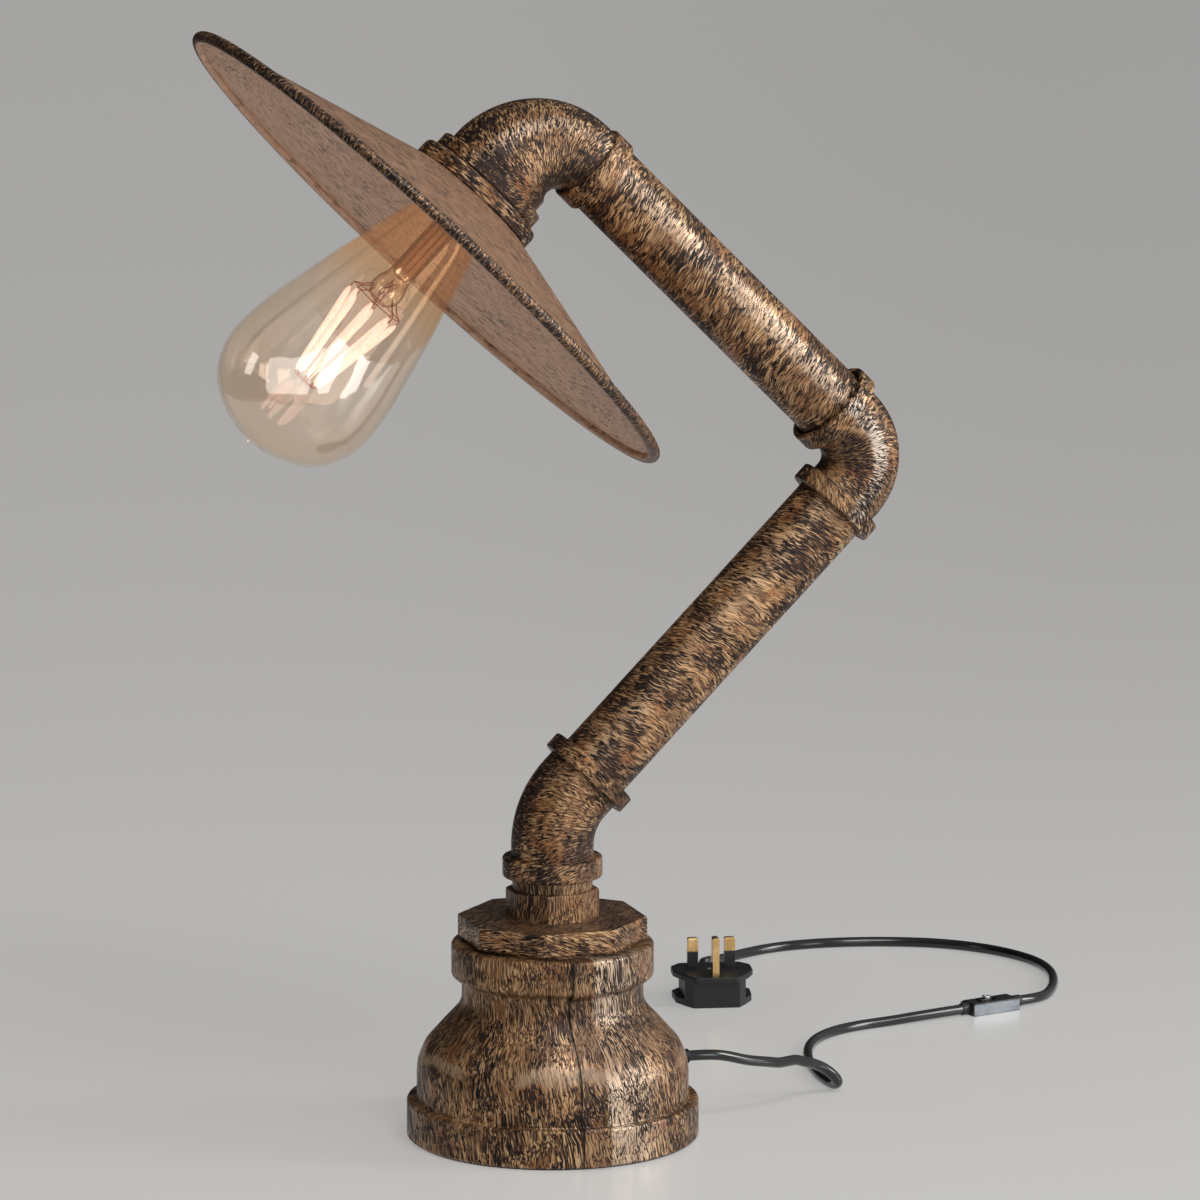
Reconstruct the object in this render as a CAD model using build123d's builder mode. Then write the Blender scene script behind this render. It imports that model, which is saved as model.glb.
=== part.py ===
from build123d import *
import os
import math

os.makedirs("parts", exist_ok=True)

# ---------------------------------------------------------------------------
# Industrial pipe table lamp.  Millimetres, +Z up.
# Origin: centre of the foot on the table.  The three pipe limbs lie in the
# XZ plane; the lower limb leans to +X, the upper limb back to -X, and the
# shade hangs from the top end, facing -X and down.
# ---------------------------------------------------------------------------

# ----- driving dimensions ---------------------------------------------------
PIPE_R = 21.2            # 1 1/4 inch pipe, 42.4 outside diameter
PIPE_BORE = 18.0
FIT = 0.05               # radial clearance of a turning thread
E1 = (0.0, 0.0, 185.08)          # corner of the 45 degree elbow
E2 = (192.25, 0.0, 377.34)       # corner of the 90 degree elbow
E3 = (-4.29, 0.0, 573.86)        # corner of the reducing elbow at the shade
C45 = math.sqrt(0.5)
D1 = (C45, 0.0, C45)             # lower pipe, upwards
D2 = (-C45, 0.0, C45)            # upper pipe, upwards
D3 = (-C45, 0.0, -C45)           # shade axis, outwards
LIMB1 = math.dist(E1, E2)
LIMB2 = math.dist(E2, E3)

# foot
PAD_T = 1.0
PAD_R = 79.0
RING_R, RING_TOP = 81.8, 22.6
BELL = [(76.16, 37.6), (75.9, 41.0), (75.4, 44.5), (74.25, 47.9), (72.8, 51.4), (70.9, 54.8),
        (67.9, 58.3), (64.85, 61.7), (61.75, 65.2), (58.56, 68.6), (55.3, 72.1), (52.6, 75.5),
        (51.2, 78.9), (50.8, 82.4)]
BAND_R, BAND_LO, BAND_HI = 56.6, 93.5, 111.9
BUSH_BORE = 46.6
OCT1_R, OCT1_Z0, OCT1_Z1 = 53.05, 113.9, 126.7
OCT2_R, OCT2_Z1 = 26.15, 142.4
NIP_R, NIP_TOP = 22.4, 149.3
SPIGOT_R = 20.5
PLATE_R, PLATE_Z0, PLATE_Z1 = 74.2, 1.2, 3.7
BOSS_PCD_R = 66.5
RIB_H = 1.4
CORD_Z = 39.5            # height of the cord outlet
CORD_R = 3.0             # three-core mains flex, 6 mm
GLAND_R = 4.1
GLAND_FACE = 80.2

# shade and lampholder, measured along the shade axis from E3
CONE_R0, CONE_S0, CONE_SLOPE = 44.94, 61.8, 0.274
RIM_R, RIM_S, RIM_BEAD = 168.7, 96.4, 3.2
SHADE_T = 1.3

# bulb outline: distance along the axis, radius
BULB = [(66, 14.5), (74, 18.6), (84, 22.9), (91.6, 25.2), (102.4, 28.0), (114.5, 31.2), (125.8, 34.3),
        (138.4, 37.4), (151, 40.3), (163.6, 43.2), (176.1, 45.7), (188.7, 47.2), (195, 47.6),
        (201.3, 47.3), (207.6, 46.2), (213.9, 44.1), (220.2, 40.9), (226.5, 35.6), (231, 29.8),
        (235, 21.5), (237.6, 12.0), (238.6, 6.5)]
BULB_END = 241.3

# in-line switch
SW_A = 14.5
SW_L, SW_W, SW_H = 32.8, 14.4, 7.6
SW_C = (338.07, 201.98)
SW_CORD_Z = 3.9
SW_RELIEF = 5.0
SW_TRAVEL = 4.0

# plug, three flat pins
PLUG_C = (190.0, 278.5)
PLUG_A = -12.0
PLUG_W, PLUG_D, PLUG_H = 48.0, 42.0, 19.0
PLUG_SPLIT = 11.0
PIN_PITCH = 22.2
PLUG_CORD_Z = 9.5

# cord routes, point by point
ROUTE_BASE = [(80.2, 0, 39.5), (92, 0, 39.5), (104, 2.6, 37.8), (118, 7.5, 34), (132.5, 14, 30.8),
              (147.5, 23.5, 27.2), (160, 31.5, 23.2), (169, 37.5, 19.4), (176, 40.5, 15.6),
              (181.6, 41.0, 11.2), (185.4, 42.5, 6.3), (185.6, 49.5, 3.0), (184.4, 60, 3),
              (184.8, 75, 3), (187.5, 94, 3), (192, 114, 3), (200, 137, 3), (211, 156, 3),
              (225.5, 170.5, 3), (245, 180.5, 3), (269, 185.5, 3), (294.1, 190.6, 3.9)]
ROUTE_PLUG = [(369.4, 210.08, 3.9), (379.5, 218.5, 3), (388.5, 232, 3), (398, 252, 3), (405.5, 277, 3),
              (406.5, 303, 3), (399, 328, 3), (385.5, 350, 3), (366.5, 368, 3), (342.5, 380, 3),
              (316, 388, 3), (289, 391, 3), (263, 387.5, 3), (240.5, 377, 3), (222.5, 363.5, 3.9),
              (209.3, 349.3, 7.2), (202.06, 335.23, 9.5)]

# ----- planes and axes ------------------------------------------------------
foot_axis = Axis.Z
p_limb1 = Plane(origin=E1, x_dir=(0, 1, 0), z_dir=D1)
p_limb2 = Plane(origin=E2, x_dir=(0, 1, 0), z_dir=D2)
p_head = Plane(origin=E3, x_dir=(0, 1, 0), z_dir=D3)
head_axis = Axis(E3, D3)
head_prof = Plane(origin=E3, x_dir=(0, 1, 0), z_dir=D2)      # local (radius, distance along D3)


def along(p, d, s):
    return (p[0] + d[0] * s, p[1] + d[1] * s, p[2] + d[2] * s)


def corner_radii(pts):
    """0.45 of the shorter run over the tangent of half the turn, one per corner"""
    out = []
    for a, b, c in zip(pts, pts[1:], pts[2:]):
        u, v = Vector(*b) - Vector(*a), Vector(*c) - Vector(*b)
        out.append(0.45 * min(u.length, v.length) / math.tan(math.radians(u.get_angle(v)) / 2))
    return out


made = {}


def finish(name, part):
    part.label = name
    export_step(part, "parts/" + name + ".step")
    made[name] = part.volume


# ===========================================================================
# FOOT
# ===========================================================================
# one raised rib of the casting: a flat-faced strip that follows the outline
with BuildPart() as rib:
    with BuildSketch(Plane.YZ):
        with BuildLine():
            Polyline((75.2, PAD_T + 0.5), (RING_R + RIB_H - 0.5, PAD_T + 0.5), (RING_R + RIB_H, PAD_T + 1.0),
                     (RING_R + RIB_H, RING_TOP - 0.6), (RING_R + RIB_H - 0.8, RING_TOP + 0.6),
                     (77.9, RING_TOP + 0.6), (76.96 + RIB_H - 0.8, RING_TOP + 1.2),
                     *[(r + RIB_H, z + 0.3) for r, z in BELL],
                     (50.8 + RIB_H, 88.6), (51.7 + RIB_H, 89.7), (53.4 + RIB_H, 90.8), (55.2 + RIB_H, 91.7), (56.2 + RIB_H, 92.9),
                     (BAND_R + RIB_H, 94.4), (BAND_R + RIB_H, BAND_HI - 1.2), (BAND_R + RIB_H - 0.5, BAND_HI - 0.5),
                     (BAND_R - 0.7, BAND_HI), (50.0, BAND_HI), (48.2, 88.0), (47.8, 81.0), (50.2, 75.2), (54.6, 69.5),
                     (63.4, 60.0), (69.6, 50.0), (72.5, 42.0), (75.2, 34.0), close=True)
        make_face()
    extrude(amount=12.0, both=True)
    with BuildSketch(Plane.XZ.offset(-95.0)):
        with BuildLine():
            Polyline((-8.14, -1), (8.14, -1), (5.8, 112), (-5.8, 112), close=True)
        make_face()
    extrude(amount=60.0, mode=Mode.INTERSECT)
    mirror(about=Plane.XZ)

# bell-shaped cast foot: heavy ring at the bottom, threaded band at the top,
# a raised rib on each Y side, four bosses inside for the bottom plate
with BuildPart() as base_casting:
    with BuildSketch(Plane.XZ):
        with BuildLine():
            Polyline((50.8, 82.4), (50.8, 89.0), (51.4, 90.2), (53.2, 91.4), (55.2, 92.4), (56.2, 93.4),
                     (BAND_R, 94.6), (BAND_R, BAND_HI - 1.8), (BAND_R - 0.5, BAND_HI - 0.6),
                     (BAND_R - 1.8, BAND_HI), (BUSH_BORE, BAND_HI), (BUSH_BORE, 93.0), (45.0, 90.0),
                     (45.0, 79.0), (49.0, 73.6), (55.0, 67.0), (61.5, 59.5), (66.0, 53.5), (69.0, 47.5),
                     (70.3, 40.0), (70.5, 30.0), (70.5, PLATE_Z1), (74.6, PLATE_Z1), (74.6, PAD_T),
                     (RING_R - 1.2, PAD_T), (RING_R, PAD_T + 1.2), (RING_R, RING_TOP - 1.6),
                     (RING_R - 0.5, RING_TOP - 0.5), (RING_R - 1.6, RING_TOP), (76.6, RING_TOP),
                     (76.16, RING_TOP + 0.7), (76.16, 37.6))
            Spline(*BELL, tangents=[(0, 1), (0, 1)])
        make_face()
    revolve(axis=Axis.Z)
    add(rib.part)
    with BuildSketch(Plane.XY.offset(PLATE_Z1)):
        with PolarLocations(BOSS_PCD_R, 4, start_angle=45):
            Circle(5.2)
    extrude(amount=13.0)
    with BuildSketch(Plane.XY.offset(PLATE_Z1)):
        with PolarLocations(BOSS_PCD_R, 4, start_angle=45):
            Circle(2.05)
    extrude(amount=11.0, mode=Mode.SUBTRACT)
    # boss for the earthing screw, on the +Y wall
    with BuildSketch(Plane.XZ.offset(-60.0)):
        with Locations((0, 30)):
            Circle(6.0)
    extrude(amount=-11.5)
    with BuildSketch(Plane.XZ.offset(-60.0)):
        with Locations((0, 30)):
            Circle(2.05)
    extrude(amount=-7.0, mode=Mode.SUBTRACT)
    # cord outlet
    with BuildSketch(Plane.YZ.offset(60.0)):
        with Locations((0, CORD_Z)):
            Circle(GLAND_R + 0.05)
    extrude(amount=30.0, mode=Mode.SUBTRACT)
finish("base_casting", base_casting.part)

# felt disc glued under the ring
with BuildPart() as felt_pad:
    with BuildSketch(Plane.XY):
        Circle(PAD_R)
    extrude(amount=PAD_T)
finish("felt_pad", felt_pad.part)

# steel plate that closes the foot
with BuildPart() as bottom_plate:
    with BuildSketch(Plane.XY.offset(PLATE_Z0)):
        Circle(PLATE_R)
        with PolarLocations(BOSS_PCD_R, 4, start_angle=45):
            Circle(2.2, mode=Mode.SUBTRACT)
    extrude(amount=PLATE_Z1 - PLATE_Z0)
    with Locations(Plane(origin=(0, 0, PLATE_Z0), z_dir=(0, 0, -1))):
        with PolarLocations(BOSS_PCD_R, 4, start_angle=45):
            CounterSinkHole(2.2, 4.15, depth=10)
finish("bottom_plate", bottom_plate.part)

# four countersunk screws
with BuildPart() as bottom_screws:
    with PolarLocations(BOSS_PCD_R, 4, start_angle=45):
        with Locations((0, 0, PLATE_Z0 + 0.1)):
            Cone(3.9, 1.95, 2.0, align=(Align.CENTER, Align.CENTER, Align.MIN))
        with Locations((0, 0, PLATE_Z0 + 2.1)):
            Cylinder(1.95, 9.4, align=(Align.CENTER, Align.CENTER, Align.MIN))
        with Locations((0, 0, PLATE_Z0 + 0.1)):
            Box(4.6, 0.8, 0.8, align=(Align.CENTER, Align.CENTER, Align.MIN), mode=Mode.SUBTRACT)
finish("bottom_screws", bottom_screws.part)

# iron disc that weights the foot
BALLAST_Z1 = 22.0
with BuildPart() as ballast_disc:
    with BuildSketch(Plane.XY.offset(PLATE_Z1)):
        Circle(60.0)
        Circle(12.0, mode=Mode.SUBTRACT)
        with PolarLocations(40.0, 2, start_angle=90):
            Circle(2.3, mode=Mode.SUBTRACT)
    extrude(amount=BALLAST_Z1 - PLATE_Z1)
    fillet(ballast_disc.edges().group_by(Axis.Z)[-1].sort_by(SortBy.LENGTH)[-1], radius=2.0)
finish("ballast_disc", ballast_disc.part)

# ceramic connector block on the ballast disc: three ways
BLK_X0, BLK_X1, BLK_Z1, BLK_HZ = 16.0, 34.0, 40.0, 33.0
with BuildPart() as terminal_block:
    with BuildSketch(Plane.XY.offset(BALLAST_Z1)):
        with Locations(((BLK_X0 + BLK_X1) / 2, 0)):
            RectangleRounded(BLK_X1 - BLK_X0, 27.0, 2.0)
    extrude(amount=BLK_Z1 - BALLAST_Z1)
    with BuildSketch(Plane.YZ.offset(BLK_X0 - 1)):
        with Locations((-8, BLK_HZ), (0, BLK_HZ), (8, BLK_HZ)):
            Circle(1.5)
    extrude(amount=BLK_X1 - BLK_X0 + 2, mode=Mode.SUBTRACT)
    with BuildSketch(Plane.XY.offset(BLK_Z1)):
        with Locations((21, -8), (21, 0), (21, 8), (29, -8), (29, 0), (29, 8)):
            Circle(1.75)
    extrude(amount=-5.4, mode=Mode.SUBTRACT)
    with BuildSketch(Plane.XY.offset(BLK_Z1)):
        with Locations((25, -4), (25, 4)):
            Circle(1.2)
    extrude(amount=-(BLK_Z1 - BALLAST_Z1), mode=Mode.SUBTRACT)
finish("terminal_block", terminal_block.part)

with BuildPart() as terminal_screws:
    with Locations((21, -8, BLK_Z1 - 5.4), (21, 0, BLK_Z1 - 5.4), (21, 8, BLK_Z1 - 5.4),
                   (29, -8, BLK_Z1 - 5.4), (29, 0, BLK_Z1 - 5.4), (29, 8, BLK_Z1 - 5.4)):
        Cylinder(1.6, 4.4, align=(Align.CENTER, Align.CENTER, Align.MIN))
        with Locations((0, 0, 3.7)):
            Box(3.4, 0.6, 0.8, align=(Align.CENTER, Align.CENTER, Align.MIN), mode=Mode.SUBTRACT)
finish("terminal_screws", terminal_screws.part)

# cord gland through the wall and its lock nut inside
with BuildPart() as cord_gland:
    with BuildSketch(Plane.YZ.offset(64.5)):
        with Locations((0, CORD_Z)):
            Circle(GLAND_R)
            Circle(CORD_R + 0.05, mode=Mode.SUBTRACT)
    extrude(amount=GLAND_FACE - 64.5)
    with BuildSketch(Plane.YZ.offset(GLAND_FACE - 1.2)):
        with Locations((0, CORD_Z)):
            Circle(GLAND_R)
            Circle(CORD_R, mode=Mode.SUBTRACT)
    extrude(amount=1.2)
    fillet(cord_gland.edges().filter_by(GeomType.CIRCLE).group_by(Axis.X)[-1].sort_by(SortBy.RADIUS)[-1], radius=0.5)
finish("cord_gland", cord_gland.part)

with BuildPart() as gland_nut:
    with BuildSketch(Plane.YZ.offset(65.2)):
        with Locations((0, CORD_Z)):
            RegularPolygon(6.6, 6)
            Circle(GLAND_R + 0.03, mode=Mode.SUBTRACT)
    extrude(amount=3.2)
finish("gland_nut", gland_nut.part)

# end of the cord inside the foot: jacket, then three cores into the block
with BuildPart() as inlet_lead:
    with BuildLine() as inlet_path:
        FilletPolyline((GLAND_FACE, 0, CORD_Z), (62, 0, CORD_Z), (50, 0, 35.5), (43, 0, 34.5), radius=12)
    with BuildSketch(inlet_path.line ^ 0):
        Circle(CORD_R)
    sweep(path=inlet_path.line)
finish("inlet_lead", inlet_lead.part)

core_ends = [((42.4, -1.9, 34.3), (39, -4.5, 33.6), (35.5, -8, BLK_HZ), (26, -8, BLK_HZ)),
             ((42.4, 0, 34.3), (39, 0, 33.6), (35.5, 0, BLK_HZ), (26, 0, BLK_HZ)),
             ((42.4, 1.9, 34.3), (39, 4.5, 33.6), (35.5, 8, BLK_HZ), (26, 8, BLK_HZ))]
# earth tag and its screw on the boss of the casting, with the earth wire
with BuildPart() as earth_tag:
    with BuildSketch(Plane.XZ.offset(-59.2)):
        with Locations((0, 30)):
            Circle(4.2)
        with Locations((0, 37)):
            Rectangle(4.0, 9.0)
        with Locations((0, 30)):
            Circle(2.15, mode=Mode.SUBTRACT)
    extrude(amount=-0.8)
finish("earth_tag", earth_tag.part)

with BuildPart() as earth_screw:
    with BuildSketch(Plane.XZ.offset(-59.2)):
        with Locations((0, 30)):
            Circle(1.95)
    extrude(amount=-7.0)
    with BuildSketch(Plane.XZ.offset(-59.2)):
        with Locations((0, 30)):
            Circle(3.6)
    extrude(amount=2.4)
    with BuildSketch(Plane.XZ.offset(-56.8)):
        with Locations((0, 30)):
            Rectangle(6.4, 0.9)
    extrude(amount=-1.0, mode=Mode.SUBTRACT)
finish("earth_screw", earth_screw.part)

# single cores: three from the cord into the block, one from the block to the tag
earth_run = ((15.6, 8, BLK_HZ), (9, 12, 36), (4, 30, 46), (0, 50, 46), (0, 58.2, 41.5))
with BuildPart() as foot_cores:
    for pts, bend in [(p, 1.6) for p in core_ends] + [(earth_run, 3.5)]:
        with BuildLine() as core_path:
            FilletPolyline(*pts, radius=bend)
        with BuildSketch(core_path.line ^ 0):
            Circle(0.85)
        sweep(path=core_path.line)
finish("foot_cores", foot_cores.part)

# large octagon bushing screwed into the band
with BuildPart() as reducing_bushing:
    with BuildSketch(Plane.XY.offset(OCT1_Z0)):
        RegularPolygon(OCT1_R, 8, rotation=22.5)
    extrude(amount=OCT1_Z1 - OCT1_Z0)
    chamfer(reducing_bushing.edges().group_by(Axis.Z)[-1], length=0.7)
    chamfer(reducing_bushing.edges().group_by(Axis.Z)[0], length=0.7)
    with BuildSketch(Plane.XY.offset(95.0)):
        Circle(BUSH_BORE - FIT)
    extrude(amount=OCT1_Z0 - 95.0)
    with BuildSketch(Plane.XY.offset(95.0)):
        Circle(22.3)
    extrude(amount=40.0, mode=Mode.SUBTRACT)
finish("reducing_bushing", reducing_bushing.part)

# small octagon bushing on top of it
with BuildPart() as top_bushing:
    with BuildSketch(Plane.XY.offset(OCT1_Z1)):
        RegularPolygon(OCT2_R, 8, rotation=22.5)
    extrude(amount=OCT2_Z1 - OCT1_Z1)
    chamfer(top_bushing.edges().group_by(Axis.Z)[-1], length=0.7)
    with BuildSketch(Plane.XY.offset(108.0)):
        Circle(22.3 - FIT)
    extrude(amount=OCT1_Z1 - 108.0)
    with BuildSketch(Plane.XY.offset(108.0)):
        Circle(19.05)
    extrude(amount=40.0, mode=Mode.SUBTRACT)
finish("top_bushing", top_bushing.part)

# shouldered nipple: the elbow turns on its spigot
with BuildPart() as base_nipple:
    with BuildSketch(Plane.XY.offset(116.0)):
        Circle(19.0)
    extrude(amount=OCT2_Z1 - 116.0)
    with BuildSketch(Plane.XY.offset(OCT2_Z1)):
        Circle(NIP_R)
    extrude(amount=NIP_TOP - OCT2_Z1)
    with BuildSketch(Plane.XY.offset(NIP_TOP)):
        Circle(SPIGOT_R)
    extrude(amount=10.3)
    with BuildSketch(Plane.XY.offset(116.0)):
        Circle(14.5)
    extrude(amount=60.0, mode=Mode.SUBTRACT)
finish("base_nipple", base_nipple.part)

# lead from the block up to the swivel
with BuildPart() as riser_lead:
    with BuildLine() as riser_path:
        FilletPolyline((15.2, -4, BLK_HZ), (8, -3, 35.0), (1.5, -1, 45), (0, 0, 62), (0, 0, NIP_TOP + 0.02), radius=6)
    with BuildSketch(riser_path.line ^ 0):
        Circle(2.5)
    sweep(path=riser_path.line)
finish("riser_lead", riser_lead.part)

# ===========================================================================
# LOWER LIMB: turns on the nipple
# ===========================================================================
E1_SWEEP = 43.75
E1_BODY = 23.05
E1_TOP = 34.9
PIPE1_S0 = 25.6                   # pipe seat in the elbow
PIPE1_S1 = LIMB1 - 32.2           # free end of the pipe, inside the middle elbow

with BuildPart() as lower_elbow:
    with BuildLine() as e1_path:
        FilletPolyline((0, 0, NIP_TOP + FIT), E1, along(E1, D1, E1_TOP), radius=E1_SWEEP)
    with BuildSketch(Plane.XY.offset(NIP_TOP + FIT)):
        Circle(E1_BODY)
    sweep(path=e1_path.line)
    # banded ends
    with BuildSketch(Plane.XY.offset(NIP_TOP + FIT)):
        Circle(27.9)
    extrude(amount=11.15)
    with BuildSketch(p_limb1.offset(25.35)):
        Circle(27.8)
    extrude(amount=E1_TOP - 25.35)
    fillet(lower_elbow.edges().filter_by(GeomType.CIRCLE).filter_by(lambda e: e.radius > 27), radius=1.1)
    # passage and seats
    with BuildSketch(Plane.XY.offset(NIP_TOP + FIT)):
        Circle(18.0)
    sweep(path=e1_path.line, mode=Mode.SUBTRACT)
    with BuildSketch(Plane.XY.offset(NIP_TOP + FIT)):
        Circle(SPIGOT_R + FIT)
    extrude(amount=10.6, mode=Mode.SUBTRACT)
    with BuildSketch(p_limb1.offset(PIPE1_S0)):
        Circle(PIPE_R + FIT)
    extrude(amount=20, mode=Mode.SUBTRACT)
finish("lower_elbow", lower_elbow.part)

with BuildPart() as lower_pipe:
    with BuildSketch(p_limb1.offset(PIPE1_S0)):
        Circle(PIPE_R)
        Circle(PIPE_BORE, mode=Mode.SUBTRACT)
    extrude(amount=PIPE1_S1 - PIPE1_S0)
    chamfer(lower_pipe.edges().filter_by(GeomType.CIRCLE).filter_by(lambda e: e.radius > 20), length=0.5)
finish("lower_pipe", lower_pipe.part)

LEAD1_END = LIMB1 - 36.0
with BuildPart() as lower_lead:
    with BuildLine() as lead1_path:
        FilletPolyline((0, 0, NIP_TOP + 0.07), E1, along(E1, D1, LEAD1_END), radius=30)
    with BuildSketch(lead1_path.line ^ 0):
        Circle(2.5)
    sweep(path=lead1_path.line)
finish("lower_lead", lower_lead.part)

# ===========================================================================
# UPPER LIMB: the middle elbow turns on the lower pipe
# ===========================================================================
E2_SWEEP = 27.16
E2_BODY = 21.8
E2_LO0, E2_LO1 = 31.6, 41.7       # band round the lower pipe
E2_UP0, E2_UP1 = 33.0, 43.5       # band round the upper pipe
PIPE2_S0 = 33.4
PIPE2_S1 = LIMB2 - 41.0           # ends inside the swivel ring

p_mid_lo = Plane(origin=E2, x_dir=(0, 1, 0), z_dir=(-D1[0], 0, -D1[2]))
with BuildPart() as middle_elbow:
    with BuildLine() as e2_path:
        FilletPolyline(along(E2, D1, -E2_LO1), E2, along(E2, D2, E2_UP1), radius=E2_SWEEP)
    with BuildSketch(e2_path.line ^ 0):
        Circle(E2_BODY)
    sweep(path=e2_path.line)
    with BuildSketch(p_mid_lo.offset(E2_LO0)):
        Circle(26.7)
    extrude(amount=E2_LO1 - E2_LO0)
    with BuildSketch(p_limb2.offset(E2_UP0)):
        Circle(26.3)
    extrude(amount=E2_UP1 - E2_UP0)
    fillet(middle_elbow.edges().filter_by(GeomType.CIRCLE).filter_by(lambda e: e.radius > 26), radius=1.1)
    with BuildSketch(e2_path.line ^ 0):
        Circle(PIPE_BORE)
    sweep(path=e2_path.line, mode=Mode.SUBTRACT)
    with BuildSketch(p_mid_lo.offset(32.0)):
        Circle(PIPE_R + FIT)
    extrude(amount=20, mode=Mode.SUBTRACT)
    with BuildSketch(p_limb2.offset(PIPE2_S0)):
        Circle(PIPE_R + FIT)
    extrude(amount=20, mode=Mode.SUBTRACT)
    # open mouth round the upper pipe
    with BuildSketch(p_limb2.offset(37.5)):
        Circle(23.5)
    extrude(amount=20, mode=Mode.SUBTRACT)
finish("middle_elbow", middle_elbow.part)

with BuildPart() as upper_pipe:
    with BuildSketch(p_limb2.offset(PIPE2_S0)):
        Circle(PIPE_R)
        Circle(PIPE_BORE, mode=Mode.SUBTRACT)
    extrude(amount=PIPE2_S1 - PIPE2_S0)
    chamfer(upper_pipe.edges().filter_by(GeomType.CIRCLE).filter_by(lambda e: e.radius > 20), length=0.5)
finish("upper_pipe", upper_pipe.part)

# ring at the top end of the upper pipe: the shade elbow turns inside it
RING_S0, RING_S1 = LIMB2 - 47.2, LIMB2 - 34.3
with BuildPart() as swivel_ring:
    with BuildSketch(p_limb2.offset(RING_S0)):
        Circle(23.85)
        Circle(PIPE_R + 0.02, mode=Mode.SUBTRACT)
    extrude(amount=RING_S1 - RING_S0)
    fillet(swivel_ring.edges().filter_by(GeomType.CIRCLE).filter_by(lambda e: e.radius > 23), radius=1.3)
finish("swivel_ring", swivel_ring.part)

LEAD2_END = LIMB2 - 38.0
with BuildPart() as upper_lead:
    with BuildLine() as lead2_path:
        FilletPolyline(along(E2, D1, -35.95), E2, along(E2, D2, LEAD2_END), radius=25)
    with BuildSketch(lead2_path.line ^ 0):
        Circle(2.5)
    sweep(path=lead2_path.line)
finish("upper_lead", upper_lead.part)

# ===========================================================================
# HEAD: reducing elbow, shade, lampholder and bulb turn on the upper pipe
# ===========================================================================
E3_SWEEP = 33.9
E3_R0, E3_R1 = 21.8, 30.4
TAIL_R = PIPE_R + 0.02 - FIT
OUT_S, OUT_END = 33.9, 50.1

centre = along(along(E3, D2, -E3_SWEEP), D3, E3_SWEEP)     # centre of the bend


def bend_plane(k):
    """section plane at angle k (0 at the pipe, 90 at the shade)"""
    a = math.radians(k)
    rad = tuple(-math.cos(a) * D3[i] + math.sin(a) * D2[i] for i in range(3))
    tan = tuple(math.cos(a) * D2[i] + math.sin(a) * D3[i] for i in range(3))
    return Plane(origin=along(centre, rad, E3_SWEEP), x_dir=(0, 1, 0), z_dir=tan)


with BuildPart() as head_elbow:
    for k in range(0, 91, 15):
        with BuildSketch(bend_plane(k)):
            Circle(E3_R0 + (E3_R1 - E3_R0) * (k / 90) ** 1.15)
    loft()
    with BuildSketch(p_head.offset(OUT_S)):
        Circle(E3_R1)
    extrude(amount=41.9 - OUT_S)
    with BuildSketch(p_head.offset(41.9)):
        Circle(34.85)
    extrude(amount=OUT_END - 41.9)
    fillet(head_elbow.edges().filter_by(GeomType.CIRCLE).filter_by(lambda e: e.radius > 34), radius=1.2)
    # turned tail inside the swivel ring
    with BuildSketch(p_limb2.offset(LIMB2 - 40.5)):
        Circle(TAIL_R)
    extrude(amount=40.5 - E3_SWEEP)
with BuildPart() as head_bore:
    for k in range(0, 91, 15):
        with BuildSketch(bend_plane(k)):
            Circle(16.5 + (25.6 - 16.5) * (k / 90))
    loft()
    with BuildSketch(p_head.offset(OUT_S)):
        Circle(25.6)
    extrude(amount=4.0)
    with BuildSketch(p_head.offset(OUT_S + 4.0)):
        Circle(27.2)
    extrude(amount=20)
    with BuildSketch(p_limb2.offset(LIMB2 - 45)):
        Circle(16.5)
    extrude(amount=45 - E3_SWEEP)
with BuildPart() as head_elbow_open:
    add(head_elbow.part)
    add(head_bore.part, mode=Mode.SUBTRACT)
finish("head_elbow", head_elbow_open.part)

# collar that clamps the shade, with a threaded spigot up into the elbow
with BuildPart() as shade_collar:
    with BuildSketch(head_prof):
        with BuildLine():
            Polyline((20.45, 43.0), (27.15, 43.0), (27.15, 50.4), (37.0, 50.4), (38.6, 51.0), (39.5, 52.2),
                     (39.75, 53.6), (39.75, 59.2), (39.2, 59.8), (20.45, 59.8), close=True)
        make_face()
    revolve(axis=head_axis)
finish("shade_collar", shade_collar.part)


def cone_s(r):
    return CONE_S0 + CONE_SLOPE * (r - CONE_R0)


R_END = RIM_R - 2.4
with BuildPart() as shade:
    with BuildSketch(head_prof):
        with BuildLine():
            Polyline((20.4, 59.8), (38.4, 59.8), (41.0, cone_s(41.0)), (R_END, cone_s(R_END)),
                     (R_END, cone_s(R_END) + SHADE_T), (41.0, cone_s(41.0) + SHADE_T), (38.0, 59.8 + SHADE_T),
                     (20.4, 59.8 + SHADE_T), close=True)
        make_face()
        with Locations((RIM_R, RIM_S)):
            Circle(RIM_BEAD)
    revolve(axis=head_axis)
finish("shade", shade.part)

# moulded ring that screws up against the inside of the shade
with BuildPart() as shade_ring:
    with BuildSketch(head_prof):
        with BuildLine():
            Polyline((20.4, 59.8 + SHADE_T), (27.0, 59.8 + SHADE_T), (27.0, 63.2), (25.6, 66.0), (20.4, 66.0), close=True)
        make_face()
    revolve(axis=head_axis)
finish("shade_ring", shade_ring.part)

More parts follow.
